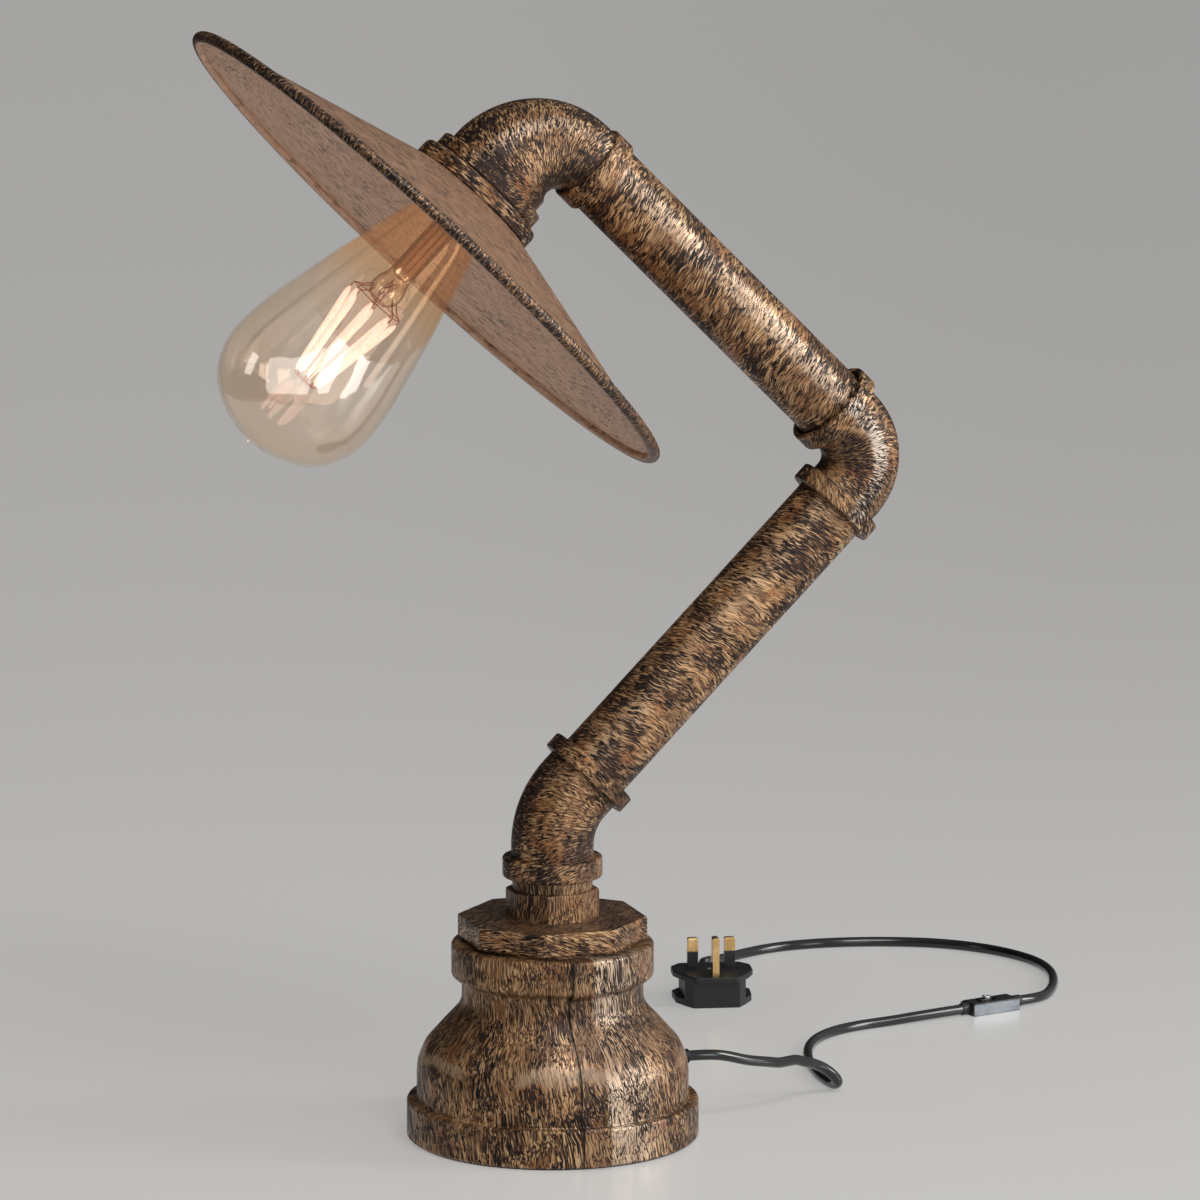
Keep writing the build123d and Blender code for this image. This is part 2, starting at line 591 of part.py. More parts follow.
# E27 lampholder: insulated body with a flange that sits on the collar
with BuildPart() as lampholder_body:
    with BuildSketch(head_prof):
        with BuildLine():
            Polyline((2.2, 29.5), (17.0, 29.5), (20.3, 32.5), (20.3, 39.5), (24.0, 39.5), (24.0, 43.0),
                     (20.3, 43.0), (20.3, 67.6), (19.4, 68.4), (17.2, 68.4), (17.2, 62.0), (14.5, 62.0),
                     (14.5, 36.0), (2.2, 36.0), close=True)
        make_face()
    revolve(axis=head_axis)
    with BuildSketch(p_head.offset(29.0)):
        with Locations((10.5, 0), (-10.5, 0)):
            Circle(2.0)
    extrude(amount=5.0, mode=Mode.SUBTRACT)
finish("lampholder_body", lampholder_body.part)

with BuildPart() as screw_shell:
    with BuildSketch(head_prof):
        with BuildLine():
            Polyline((13.55, 42.0), (14.3, 42.0), (14.3, 61.6), (13.55, 61.6),
                     (13.55, 59.5), (13.75, 58.3), (13.55, 57.1), (13.75, 55.9), (13.55, 54.7), (13.75, 53.5),
                     (13.55, 52.3), (13.75, 51.1), (13.55, 49.9), close=True)
        make_face()
    revolve(axis=head_axis)
finish("screw_shell", screw_shell.part)

with BuildPart() as centre_contact:
    with BuildSketch(p_head.offset(34.0)):
        Circle(2.1)
    extrude(amount=2.0)
    with BuildSketch(p_head.offset(36.0)):
        RectangleRounded(5.0, 15.0, 1.5)
    extrude(amount=0.6)
    with BuildSketch(p_head.offset(36.6)):
        Circle(3.2)
    extrude(amount=3.2)
finish("centre_contact", centre_contact.part)

with BuildPart() as head_lead:
    with BuildLine() as lead3_path:
        FilletPolyline(along(E3, D2, -37.95), E3, along(E3, D3, 29.4), radius=24)
    with BuildSketch(lead3_path.line ^ 0):
        Circle(2.5)
    sweep(path=lead3_path.line)
finish("head_lead", head_lead.part)

# ----- bulb -----------------------------------------------------------------
with BuildPart() as bulb_glass:
    with BuildSketch(head_prof):
        with BuildLine():
            Line((12.2, 59.5), (12.2, 63.5))
            Spline((12.2, 63.5), *[(r, s) for s, r in BULB], (1.9, 239.4), tangents=[(0, 1), (-1, 0.1)])
            Polyline((1.9, 239.4), (1.7, 240.8), (0.9, BULB_END), (0, BULB_END), (0, 238.2), (6.1, 237.4))
            Spline((6.1, 237.4), *[(r - 1.1, s - 0.2 if s < 225 else s - 1.1) for s, r in BULB[::-1][1:]], (11.2, 62.9),
                   tangents=[(1, -0.25), (0, -1)])
            Polyline((11.2, 62.9), (11.2, 59.5), (12.2, 59.5))
        make_face()
    revolve(axis=head_axis)
finish("bulb_glass", bulb_glass.part)

with BuildPart() as bulb_cap:
    with BuildSketch(head_prof):
        with BuildLine():
            Polyline((12.35, 45.0), (13.0, 45.0), (13.0, 46.6), (13.3, 47.7), (12.9, 48.8), (13.3, 49.9),
                     (12.9, 51.1), (13.3, 52.3), (12.9, 53.5), (13.3, 54.7), (12.9, 55.9), (13.3, 57.1),
                     (12.9, 58.3), (13.3, 59.5), (12.9, 60.7), (12.9, 63.2), (12.35, 63.2), close=True)
        make_face()
    revolve(axis=head_axis)
finish("bulb_cap", bulb_cap.part)

with BuildPart() as bulb_insulator:
    with BuildSketch(head_prof):
        with BuildLine():
            Polyline((0, 41.4), (4.8, 41.4), (9.5, 43.6), (12.3, 44.9), (12.3, 46.0), (0, 46.0), close=True)
        make_face()
    revolve(axis=head_axis)
finish("bulb_insulator", bulb_insulator.part)

with BuildPart() as bulb_contact:
    with BuildSketch(head_prof):
        with BuildLine():
            Polyline((0, 39.8), (3.0, 39.8), (4.6, 40.6), (4.8, 41.4), (0, 41.4), close=True)
        make_face()
    revolve(axis=head_axis)
finish("bulb_contact", bulb_contact.part)

with BuildPart() as bulb_driver:
    with BuildSketch(p_head.offset(46.6)):
        Circle(9.5)
    extrude(amount=11.0)
finish("bulb_driver", bulb_driver.part)

# glass stem: flared foot fused into the neck, hollow tube, solid bead at its tip
STEM_R = 7.0
with BuildPart() as bulb_stem:
    with BuildSketch(head_prof):
        with BuildLine():
            Polyline((9.6, 60.0), (11.1, 60.0), (11.1, 61.4), (9.4, 64.0), (7.8, 68.5), (STEM_R, 75.0), (STEM_R, 118.0),
                     (7.5, 120.4), (8.6, 122.6), (9.4, 125.4), (9.6, 128.5), (8.9, 131.6), (7.2, 134.2), (4.4, 136.0),
                     (0, 136.6), (0, 119.0), (4.4, 117.8), (STEM_R - 1.1, 115.0), (STEM_R - 1.1, 75.0),
                     (6.6, 68.9), (8.2, 64.4), close=True)
        make_face()
    revolve(axis=head_axis)
finish("bulb_stem", bulb_stem.part)

FIL_N = 8
FIL_TOP, FIL_TOP_R = 139.5, 16.6
FIL_BOT, FIL_BOT_R = 193.0, 7.4
FIL_R = 1.9
fil_top = [(FIL_TOP_R * math.sin(math.radians(22.5 + 45 * i)), FIL_TOP_R * math.cos(math.radians(22.5 + 45 * i))) for i in range(FIL_N)]
fil_bot = [(FIL_BOT_R * math.sin(math.radians(22.5 + 45 * i)), FIL_BOT_R * math.cos(math.radians(22.5 + 45 * i))) for i in range(FIL_N)]


def head_pt(x, y, s):
    return (p_head * Location((x, y, s))).position


with BuildPart() as bulb_filaments:
    for (x0, y0), (x1, y1) in zip(fil_top, fil_bot):
        with BuildLine() as stick:
            Line(head_pt(x0, y0, FIL_TOP), head_pt(x1, y1, FIL_BOT))
        with BuildSketch(stick.line ^ 0):
            Circle(FIL_R)
        sweep(path=stick.line)
finish("bulb_filaments", bulb_filaments.part)

# wire crown on the stem, wire hoop under the sticks, and their two feed wires
with BuildPart() as bulb_wires:
    for x0, y0 in fil_top:
        k = 9.7 / FIL_TOP_R
        with BuildLine() as spoke:
            Polyline(head_pt(x0 * k, y0 * k, 132.0), head_pt(x0, y0, 134.6), head_pt(x0, y0, FIL_TOP - 0.4))
        with BuildSketch(spoke.line ^ 0):
            Circle(0.5)
        sweep(path=spoke.line, transition=Transition.RIGHT)
    with BuildSketch(head_prof):
        with Locations((FIL_BOT_R, FIL_BOT + 0.6)):
            Circle(0.6)
    revolve(axis=head_axis)
    with BuildSketch(head_prof):
        with Locations((FIL_TOP_R, 134.6)):
            Circle(0.55)
    revolve(axis=head_axis)
    with BuildSketch(p_head.offset(136.7)):
        Circle(0.6)
    extrude(amount=FIL_BOT - 136.7 + 0.6)
    with BuildSketch(p_head.offset(FIL_BOT + 0.0)):
        Rectangle(2 * FIL_BOT_R, 0.9)
    extrude(amount=1.0)
finish("bulb_wires", bulb_wires.part)

# ===========================================================================
# CORD, SWITCH AND PLUG
# ===========================================================================
ua = math.radians(SW_A)
SW_U = (math.cos(ua), math.sin(ua), 0.0)
p_sw = Plane(origin=(SW_C[0], SW_C[1], 0), x_dir=SW_U, z_dir=(0, 0, 1))
sw_in = (SW_C[0] - SW_U[0] * (SW_L / 2 + SW_RELIEF), SW_C[1] - SW_U[1] * (SW_L / 2 + SW_RELIEF), SW_CORD_Z)
sw_out = (SW_C[0] + SW_U[0] * (SW_L / 2 + SW_RELIEF), SW_C[1] + SW_U[1] * (SW_L / 2 + SW_RELIEF), SW_CORD_Z)
SW_SPLIT = 4.4
SW_WALL = 1.0

# lower half of the switch case: tray with a half-round notch at each end
with BuildPart() as switch_body:
    with BuildSketch(p_sw):
        RectangleRounded(SW_L, SW_W - 1.2, 1.2)
    extrude(amount=SW_SPLIT)
    with BuildSketch(p_sw.offset(SW_WALL)):
        RectangleRounded(SW_L - 3.0, SW_W - 4.0, 0.8)
    extrude(amount=SW_SPLIT, mode=Mode.SUBTRACT)
    with Locations(p_sw.offset(SW_CORD_Z)):
        Cylinder(CORD_R + 0.05, SW_L + 10, rotation=(0, 90, 0), mode=Mode.SUBTRACT)
    # pillars for the two case screws
    with BuildSketch(p_sw):
        with Locations((-10.5, 4.0), (10.5, -4.0)):
            Circle(1.9)
    extrude(amount=SW_SPLIT)
    with BuildSketch(p_sw):
        with Locations((-10.5, 4.0), (10.5, -4.0)):
            Circle(0.85)
    extrude(amount=SW_SPLIT, mode=Mode.SUBTRACT)
    with BuildSketch(p_sw):
        with Locations((-10.5, 4.0), (10.5, -4.0)):
            Circle(1.5)
    extrude(amount=1.2, mode=Mode.SUBTRACT)
finish("switch_body", switch_body.part)

SLOT_L, SLOT_W, SLOT_X = 13.0, 4.6, -2.6
with BuildPart() as switch_cover:
    with BuildSketch(p_sw.offset(SW_SPLIT)):
        RectangleRounded(SW_L, SW_W - 1.2, 1.2)
    extrude(amount=SW_H - SW_SPLIT)
    fillet(switch_cover.edges().group_by(Axis.Z)[-1], radius=0.9)
    with BuildSketch(p_sw.offset(SW_SPLIT)):
        RectangleRounded(SW_L - 3.0, SW_W - 4.0, 0.8)
    extrude(amount=SW_H - SW_SPLIT - SW_WALL, mode=Mode.SUBTRACT)
    with Locations(p_sw.offset(SW_CORD_Z)):
        Cylinder(CORD_R + 0.05, SW_L + 10, rotation=(0, 90, 0), mode=Mode.SUBTRACT)
    with BuildSketch(p_sw.offset(SW_H - 3)):
        with Locations((SLOT_X, 0)):
            RectangleRounded(SLOT_L, SLOT_W, 0.6)
    extrude(amount=6, mode=Mode.SUBTRACT)
finish("switch_cover", switch_cover.part)

# bright metal strips let into both long sides
with BuildPart() as switch_side_trim:
    for side in (-1, 1):
        with BuildSketch(p_sw.offset(0.25)):
            with Locations((0, side * (SW_W / 2 - 0.3))):
                Rectangle(SW_L, 0.6)
        extrude(amount=SW_H - 1.1)
finish("switch_side_trim", switch_side_trim.part)

# short sleeves that hold the cord at both ends
with BuildPart() as switch_sleeves:
    for side in (-1, 1):
        with Locations(p_sw.offset(SW_CORD_Z) * Location((side * (SW_L / 2 + SW_RELIEF / 2), 0, 0))):
            Cylinder(3.6, SW_RELIEF, rotation=(0, 90, 0))
    fillet(switch_sleeves.edges().filter_by(GeomType.CIRCLE), radius=0.5)
    for side in (-1, 1):
        with Locations(p_sw.offset(SW_CORD_Z) * Location((side * (SW_L / 2 - 1.6), 0, 0))):
            Cylinder(CORD_R, 3.2, rotation=(0, 90, 0))
finish("switch_sleeves", switch_sleeves.part)

# slider: tab and knob above the cover, block inside, bridged through the slot
SLIDE_X = -6.0
with BuildPart() as switch_slider:
    with BuildSketch(p_sw.offset(SW_H + 0.15)):
        with Locations((SLIDE_X + 1.2, 0)):
            RectangleRounded(7.6, 5.6, 1.0)
    extrude(amount=0.9)
    fillet(switch_slider.edges().group_by(Axis.Z)[-1], radius=0.3)
    with BuildSketch(p_sw.offset(SW_H - 1.6)):
        with Locations((SLIDE_X + 1.2, 0)):
            Rectangle(4.0, 4.0)
    extrude(amount=2.2)
    with BuildSketch(p_sw.offset(3.9)):
        with Locations((SLIDE_X + 1.2, 0)):
            Rectangle(7.0, 7.0)
    extrude(amount=SW_H - SW_WALL - 0.2 - 3.9)
    # contact bridge pressed into the underside
    with BuildSketch(p_sw.offset(2.85)):
        with Locations((SLIDE_X + 1.2, -2.2)):
            Rectangle(2.0, 1.2)
    extrude(amount=1.2)
    with BuildSketch(p_sw.offset(2.35)):
        with Locations((SLIDE_X + 1.2, -2.2)):
            Rectangle(8.0, 1.6)
    extrude(amount=0.5)
finish("switch_slider", switch_slider.part)

# round metal knob on the slider
KNOB_X = SLIDE_X + 3.0
with BuildPart() as switch_knob:
    with BuildSketch(p_sw.offset(SW_H + 1.05)):
        with Locations((KNOB_X, 0)):
            Circle(2.5)
    extrude(amount=1.5)
    fillet(switch_knob.edges().group_by(Axis.Z)[-1], radius=0.6)
    with BuildSketch(p_sw.offset(SW_H + 2.05)):
        with Locations((KNOB_X, 0)):
            Circle(1.5)
    extrude(amount=1.0, mode=Mode.SUBTRACT)
finish("switch_knob", switch_knob.part)

# fixed contacts under the slider, and the two through connectors
with BuildPart() as switch_contacts:
    with BuildSketch(p_sw.offset(SW_WALL)):
        with Locations((-8.0, -2.6), (5.0, -2.6)):
            Rectangle(6.0, 2.4)
    extrude(amount=1.2)
    with BuildSketch(p_sw.offset(SW_WALL)):
        with Locations((10.0, 2.2), (-4.0, 3.4)):
            Rectangle(4.0, 2.0)
    extrude(amount=1.2)
finish("switch_contacts", switch_contacts.part)

with BuildPart() as switch_screws:
    for x, y in ((-10.5, 4.0), (10.5, -4.0)):
        with Locations(p_sw.offset(0.2) * Location((x, y, 0))):
            Cylinder(1.4, 1.0, align=(Align.CENTER, Align.CENTER, Align.MIN))
            Cylinder(0.8, 4.0, align=(Align.CENTER, Align.CENTER, Align.MIN))
finish("switch_screws", switch_screws.part)

# ----- plug: pins up, lying on its back, rear towards +Y --------------------
p_plug = Plane(origin=(PLUG_C[0], PLUG_C[1], 0), x_dir=(math.cos(math.radians(PLUG_A)), math.sin(math.radians(PLUG_A)), 0),
               z_dir=(0, 0, 1))
HW, HD = PLUG_W / 2, PLUG_D / 2
FACE_PTS = [(-13.5, -HD), (13.5, -HD), (HW - 3.5, -8.5), (HW, 0.5), (HW, 13.5), (HW - 5.5, HD), (-HW + 5.5, HD),
            (-HW, 13.5), (-HW, 0.5), (-HW + 3.5, -8.5)]
WAIST_PTS = [(-14.0, -HD + 1.6), (14.0, -HD + 1.6), (18.3, -12.0), (18.6, HD - 3.2), (-18.6, HD - 3.2), (-18.3, -12.0)]
CAVITY_PTS = [(-12.2, -HD + 3.6), (12.2, -HD + 3.6), (16.3, -11.0), (16.6, HD - 5.2), (-16.6, HD - 5.2), (-16.3, -11.0)]
FOOT_PTS = [(-14.0, -HD + 1.6), (14.0, -HD + 1.6), (18.3, -12.0), (HW - 1.2, -3.0), (HW - 0.6, 12.0), (HW - 6.0, HD - 0.8),
            (-HW + 6.0, HD - 0.8), (-HW + 0.6, 12.0), (-HW + 1.2, -3.0), (-18.3, -12.0)]
EARTH_D = -HD + 9.6
LN_D = EARTH_D + 22.2
LN_X = PIN_PITCH / 2
CAV_TOP = 15.4

with BuildPart() as plug_base:
    with BuildSketch(p_plug.offset(15.6)):
        with BuildLine():
            Polyline(*FACE_PTS, close=True)
        make_face()
    extrude(amount=PLUG_H - 15.6)
    fillet(plug_base.edges().filter_by(Axis.Z), radius=3.4)
    fillet(plug_base.edges().group_by(Axis.Z)[-1], radius=0.9)
    with BuildSketch(p_plug.offset(PLUG_SPLIT)):
        with BuildLine():
            Polyline(*WAIST_PTS, close=True)
        make_face()
    extrude(amount=15.6 - PLUG_SPLIT)
    with BuildSketch(p_plug.offset(PLUG_SPLIT)):
        with BuildLine():
            Polyline(*CAVITY_PTS, close=True)
        make_face()
    extrude(amount=CAV_TOP - PLUG_SPLIT, mode=Mode.SUBTRACT)
    # slots for the pins
    with BuildSketch(p_plug.offset(CAV_TOP - 1)):
        with Locations((0, EARTH_D)):
            Rectangle(4.04, 8.04)
        with Locations((-LN_X, LN_D), (LN_X, LN_D)):
            Rectangle(6.39, 4.04)
        with Locations((0, 4.0)):
            Circle(1.75)
    extrude(amount=10, mode=Mode.SUBTRACT)
    with BuildSketch(p_plug.offset(PLUG_H - 1.6)):
        with Locations((0, 4.0)):
            Circle(3.3)
    extrude(amount=3, mode=Mode.SUBTRACT)
    # cord way
    with Locations(p_plug.offset(PLUG_CORD_Z) * Location((0, HD, 0))):
        Cylinder(4.65, 14.0, rotation=(90, 0, 0), mode=Mode.SUBTRACT)
finish("plug_base", plug_base.part)

with BuildPart() as plug_cover:
    with BuildSketch(p_plug):
        with BuildLine():
            Polyline(*WAIST_PTS, close=True)
        make_face()
    extrude(amount=PLUG_SPLIT)
    with BuildSketch(p_plug):
        with BuildLine():
            Polyline(*FOOT_PTS, close=True)
        make_face()
    extrude(amount=4.2)
    fillet(plug_cover.edges().group_by(Axis.Z)[0], radius=0.8)
    with BuildSketch(p_plug.offset(2.2)):
        with BuildLine():
            Polyline(*CAVITY_PTS, close=True)
        make_face()
    extrude(amount=20, mode=Mode.SUBTRACT)
    # pillar for the case screw
    with BuildSketch(p_plug):
        with Locations((0, 4.0)):
            Circle(3.4)
    extrude(amount=6.5)
    with BuildSketch(p_plug.offset(1.0)):
        with Locations((0, 4.0)):
            Circle(1.55)
    extrude(amount=20, mode=Mode.SUBTRACT)
    with Locations(p_plug.offset(PLUG_CORD_Z) * Location((0, HD, 0))):
        Cylinder(4.65, 14.0, rotation=(90, 0, 0), mode=Mode.SUBTRACT)
finish("plug_cover", plug_cover.part)

with BuildPart() as earth_pin:
    with BuildSketch(p_plug.offset(11.0)):
        with Locations((0, EARTH_D)):
            Rectangle(4.0, 8.0)
    extrude(amount=PLUG_H + 22.7 - 11.0)
    chamfer(earth_pin.edges().group_by(Axis.Z)[-1], length=0.9)
    with BuildSketch(p_plug.offset(11.0)):
        with Locations((0, EARTH_D)):
            Rectangle(7.0, 9.6)
    extrude(amount=4.3)
finish("earth_pin", earth_pin.part)

# line and neutral pins, waisted where the insulating sleeves sit
with BuildPart() as line_neutral_pins:
    for side in (-1, 1):
        with BuildSketch(p_plug.offset(PLUG_H + 9.3)):
            with Locations((side * LN_X, LN_D)):
                Rectangle(6.35, 4.0)
        extrude(amount=17.7 - 9.3)
    chamfer(line_neutral_pins.edges().group_by(Axis.Z)[-1], length=0.9)
    for side in (-1, 1):
        with BuildSketch(p_plug.offset(11.0)):
            with Locations((side * LN_X, LN_D)):
                Rectangle(4.95, 2.6)
        extrude(amount=PLUG_H + 9.3 - 11.0)
        with BuildSketch(p_plug.offset(11.0)):
            with Locations((side * LN_X, LN_D)):
                Rectangle(8.0, 6.6)
        extrude(amount=4.3)
finish("line_neutral_pins", line_neutral_pins.part)

with BuildPart() as pin_sleeves:
    for side in (-1, 1):
        with BuildSketch(p_plug.offset(CAV_TOP)):
            with Locations((side * LN_X, LN_D)):
                Rectangle(6.35, 4.0)
                Rectangle(4.97, 2.62, mode=Mode.SUBTRACT)
        extrude(amount=PLUG_H + 9.28 - CAV_TOP)
finish("pin_sleeves", pin_sleeves.part)

# cartridge fuse and its two spring clips
FUSE_X, FUSE_Z, FUSE_Y0 = 8.4, 6.2, -16.6
with BuildPart() as fuse:
    with Locations(p_plug.offset(FUSE_Z) * Location((FUSE_X, FUSE_Y0 + 12.7, 0))):
        Cylinder(3.0, 25.4, rotation=(90, 0, 0))
        for e in (-1, 1):
            with Locations((0, e * 10.0, 0)):
                Cylinder(3.15, 5.4, rotation=(90, 0, 0))
finish("fuse", fuse.part)

with BuildPart() as fuse_clips:
    for e in (-1, 1):
        with BuildSketch(p_plug.offset(2.25)):
            with Locations((FUSE_X, FUSE_Y0 + 12.7 + e * 10.0)):
                Rectangle(7.6, 3.6)
        extrude(amount=0.6)
        for w in (-1, 1):
            with BuildSketch(p_plug.offset(2.25)):
                with Locations((FUSE_X + w * 3.55, FUSE_Y0 + 12.7 + e * 10.0)):
                    Rectangle(0.6, 3.6)
            extrude(amount=6.4)
finish("fuse_clips", fuse_clips.part)

with BuildPart() as plug_screw:
    with Locations(p_plug.offset(PLUG_H - 1.55) * Location((0, 4.0, 0))):
        Cylinder(3.1, 1.3, align=(Align.CENTER, Align.CENTER, Align.MIN))
        with Locations((0, 0, 0.8)):
            Box(5.6, 0.9, 0.6, align=(Align.CENTER, Align.CENTER, Align.MIN), mode=Mode.SUBTRACT)
    with Locations(p_plug.offset(1.3) * Location((0, 4.0, 0))):
        Cylinder(1.5, PLUG_H - 1.5 - 1.3, align=(Align.CENTER, Align.CENTER, Align.MIN))
finish("plug_screw", plug_screw.part)

# bar and two screws that grip the cord inside the plug
with BuildPart() as plug_cord_grip:
    with BuildSketch(p_plug.offset(12.7)):
        with Locations((0, HD - 9.2)):
            RectangleRounded(13.4, 4.0, 1.0)
    extrude(amount=1.6)
    with BuildSketch(p_plug.offset(2.2)):
        with Locations((-5.2, HD - 9.2), (5.2, HD - 9.2)):
            Circle(1.2)
    extrude(amount=12.1)
finish("plug_cord_grip", plug_cord_grip.part)

# tapered strain relief with its collar trapped in the case
RELIEF_L = 22.0
with BuildPart() as plug_strain_relief:
    with BuildSketch(Plane(origin=(p_plug * Location((0, 0, 0))).position, x_dir=p_plug.z_dir, z_dir=p_plug.x_dir)):
        with BuildLine():
            Polyline((PLUG_CORD_Z, -(HD - 4.6)), (PLUG_CORD_Z + 4.6, -(HD - 4.6)), (PLUG_CORD_Z + 4.6, -(HD + 0.6)),
                     (PLUG_CORD_Z + 5.2, -(HD + 0.6)), (PLUG_CORD_Z + 5.2, -(HD + 2.2)), (PLUG_CORD_Z + 4.6, -(HD + 3.6)),
                     (PLUG_CORD_Z + 3.5, -(HD + RELIEF_L)), (PLUG_CORD_Z, -(HD + RELIEF_L)), close=True)
        make_face()
    revolve(axis=Axis(p_plug.from_local_coords((0, 0, PLUG_CORD_Z)), p_plug.y_dir))
finish("plug_strain_relief", plug_strain_relief.part)

plug_end = tuple(p_plug.from_local_coords((0, HD + RELIEF_L, PLUG_CORD_Z)))

# ----- the two free lengths of cord -----------------------------------------
route_a = [tuple(map(float, p)) for p in ROUTE_BASE] + [sw_in]
route_b = [sw_out] + [tuple(map(float, p)) for p in ROUTE_PLUG] + [plug_end]
radii_a, radii_b = corner_radii(route_a), corner_radii(route_b)

with BuildPart() as cord_base_run:
    with BuildLine() as path_a:
        FilletPolyline(*route_a, radius=radii_a)
    with BuildSketch(path_a.line ^ 0):
        Circle(CORD_R)
    sweep(path=path_a.line)
finish("cord_base_run", cord_base_run.part)

with BuildPart() as cord_plug_run:
    with BuildLine() as path_b:
        FilletPolyline(*route_b, radius=radii_b)
    with BuildSketch(path_b.line ^ 0):
        Circle(CORD_R)
    sweep(path=path_b.line)
finish("cord_plug_run", cord_plug_run.part)

# ----- report ---------------------------------------------------------------
for name, route, radii, path in (("cord_base_run", route_a, radii_a, path_a), ("cord_plug_run", route_b, radii_b, path_b)):
    run_len = sum(e.length for e in path.line.edges())
    expected = math.pi * CORD_R ** 2 * run_len
    print(name, "length %.1f" % run_len, "radii", " ".join("%.1f" % r for r in radii))
    print("   volume %.0f against section x length %.0f, ratio %.4f" % (made[name], expected, made[name] / expected))
print("sw_in", sw_in, "sw_out", sw_out, "plug_end", plug_end)
print(len(made), "nodes")
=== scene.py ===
import math

import bpy
import bmesh
import numpy as np
from mathutils import Matrix, Vector


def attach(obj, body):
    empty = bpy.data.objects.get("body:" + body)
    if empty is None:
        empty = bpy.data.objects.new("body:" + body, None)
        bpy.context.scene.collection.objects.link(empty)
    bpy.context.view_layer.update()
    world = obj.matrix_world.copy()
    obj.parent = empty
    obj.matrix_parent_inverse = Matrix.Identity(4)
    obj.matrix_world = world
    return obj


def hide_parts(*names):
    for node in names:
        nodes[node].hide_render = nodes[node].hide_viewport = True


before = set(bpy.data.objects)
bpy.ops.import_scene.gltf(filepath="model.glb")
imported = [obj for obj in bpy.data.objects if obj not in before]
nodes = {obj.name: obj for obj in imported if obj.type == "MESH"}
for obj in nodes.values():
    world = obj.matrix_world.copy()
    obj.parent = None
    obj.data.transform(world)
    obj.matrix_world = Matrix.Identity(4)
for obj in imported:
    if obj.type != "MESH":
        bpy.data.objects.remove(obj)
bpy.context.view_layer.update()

scene = bpy.context.scene

# ---------------------------------------------------------------------------
# geometry shared with the construction, in metres
# ---------------------------------------------------------------------------
C45 = math.sqrt(0.5)
E1 = Vector((0.0, 0.0, 0.18508))
E2 = Vector((0.19225, 0.0, 0.37734))
E3 = Vector((-0.00429, 0.0, 0.57386))
D1 = Vector((C45, 0.0, C45))
D2 = Vector((-C45, 0.0, C45))
D3 = Vector((-C45, 0.0, -C45))
Y = Vector((0.0, 1.0, 0.0))
Z = Vector((0.0, 0.0, 1.0))
CORD_R = 0.003

SW_A = math.radians(14.5)
SW_U = Vector((math.cos(SW_A), math.sin(SW_A), 0.0))
SW_V = Vector((-math.sin(SW_A), math.cos(SW_A), 0.0))
SW_C = Vector((0.33807, 0.20198, 0.0))
PL_A = math.radians(-12.0)
PL_U = Vector((math.cos(PL_A), math.sin(PL_A), 0.0))
PL_V = Vector((-math.sin(PL_A), math.cos(PL_A), 0.0))
PL_C = Vector((0.190, 0.2785, 0.0))

# ---------------------------------------------------------------------------
# camera
# ---------------------------------------------------------------------------
look = Vector((0.3053, 0.9337, -0.1869)).normalized()
right = Vector((0.9505, -0.3108, 0.0))
right = (right - look * right.dot(look)).normalized()
up = right.cross(look).normalized()
cam_data = bpy.data.cameras.new("camera")
cam_data.sensor_width = 36.0
cam_data.sensor_fit = "HORIZONTAL"
cam_data.lens = 8655.8 / 1200.0 * 36.0
cam_data.clip_start = 0.1
cam_data.clip_end = 60.0
cam = bpy.data.objects.new("camera", cam_data)
scene.collection.objects.link(cam)
m = Matrix.Identity(4)
for i, axis in enumerate((right, up, -look)):
    for k in range(3):
        m[k][i] = axis[k]
m.translation = Vector((-1.4398, -4.4887, 1.2023))
cam.matrix_world = m
scene.camera = cam

# ---------------------------------------------------------------------------
# cords: the same points as the construction's routes, in metres
# ---------------------------------------------------------------------------
ROUTE_BASE = [
    (0.0802, 0, 0.0395), (0.092, 0, 0.0395), (0.104, 0.0026, 0.0372), (0.118, 0.0075, 0.0322),
    (0.1325, 0.014, 0.0288), (0.1410, 0.0193, 0.0262), (0.1475, 0.0235, 0.0257), (0.1545, 0.0280, 0.0252),
    (0.161, 0.0318, 0.0224), (0.169, 0.0375, 0.0194),
    (0.176, 0.0405, 0.0156), (0.1816, 0.0410, 0.0112), (0.1854, 0.0425, 0.0063), (0.1856, 0.0495, 0.0030),
    (0.1844, 0.060, 0.003), (0.1848, 0.075, 0.003), (0.1875, 0.094, 0.003), (0.192, 0.114, 0.003),
    (0.200, 0.137, 0.003), (0.211, 0.156, 0.003), (0.2255, 0.1705, 0.003), (0.245, 0.1805, 0.003),
    (0.269, 0.1855, 0.003), (0.2941, 0.1906, 0.0039), (0.3173516, 0.1966219, 0.0039),
]
ROUTE_PLUG = [
    (0.3587884, 0.2073381, 0.0039), (0.3694, 0.21008, 0.0039), (0.3795, 0.2185, 0.003), (0.3885, 0.232, 0.003),
    (0.398, 0.252, 0.003), (0.4055, 0.277, 0.003), (0.4065, 0.303, 0.003), (0.399, 0.328, 0.003),
    (0.3855, 0.350, 0.003), (0.3665, 0.368, 0.003), (0.3425, 0.380, 0.003), (0.316, 0.388, 0.003),
    (0.289, 0.391, 0.003), (0.263, 0.3875, 0.003), (0.2405, 0.377, 0.003), (0.2225, 0.3635, 0.0039),
    (0.2093, 0.3493, 0.0072), (0.20206, 0.33523, 0.0095), (0.1989402, 0.3205603, 0.0095),
]


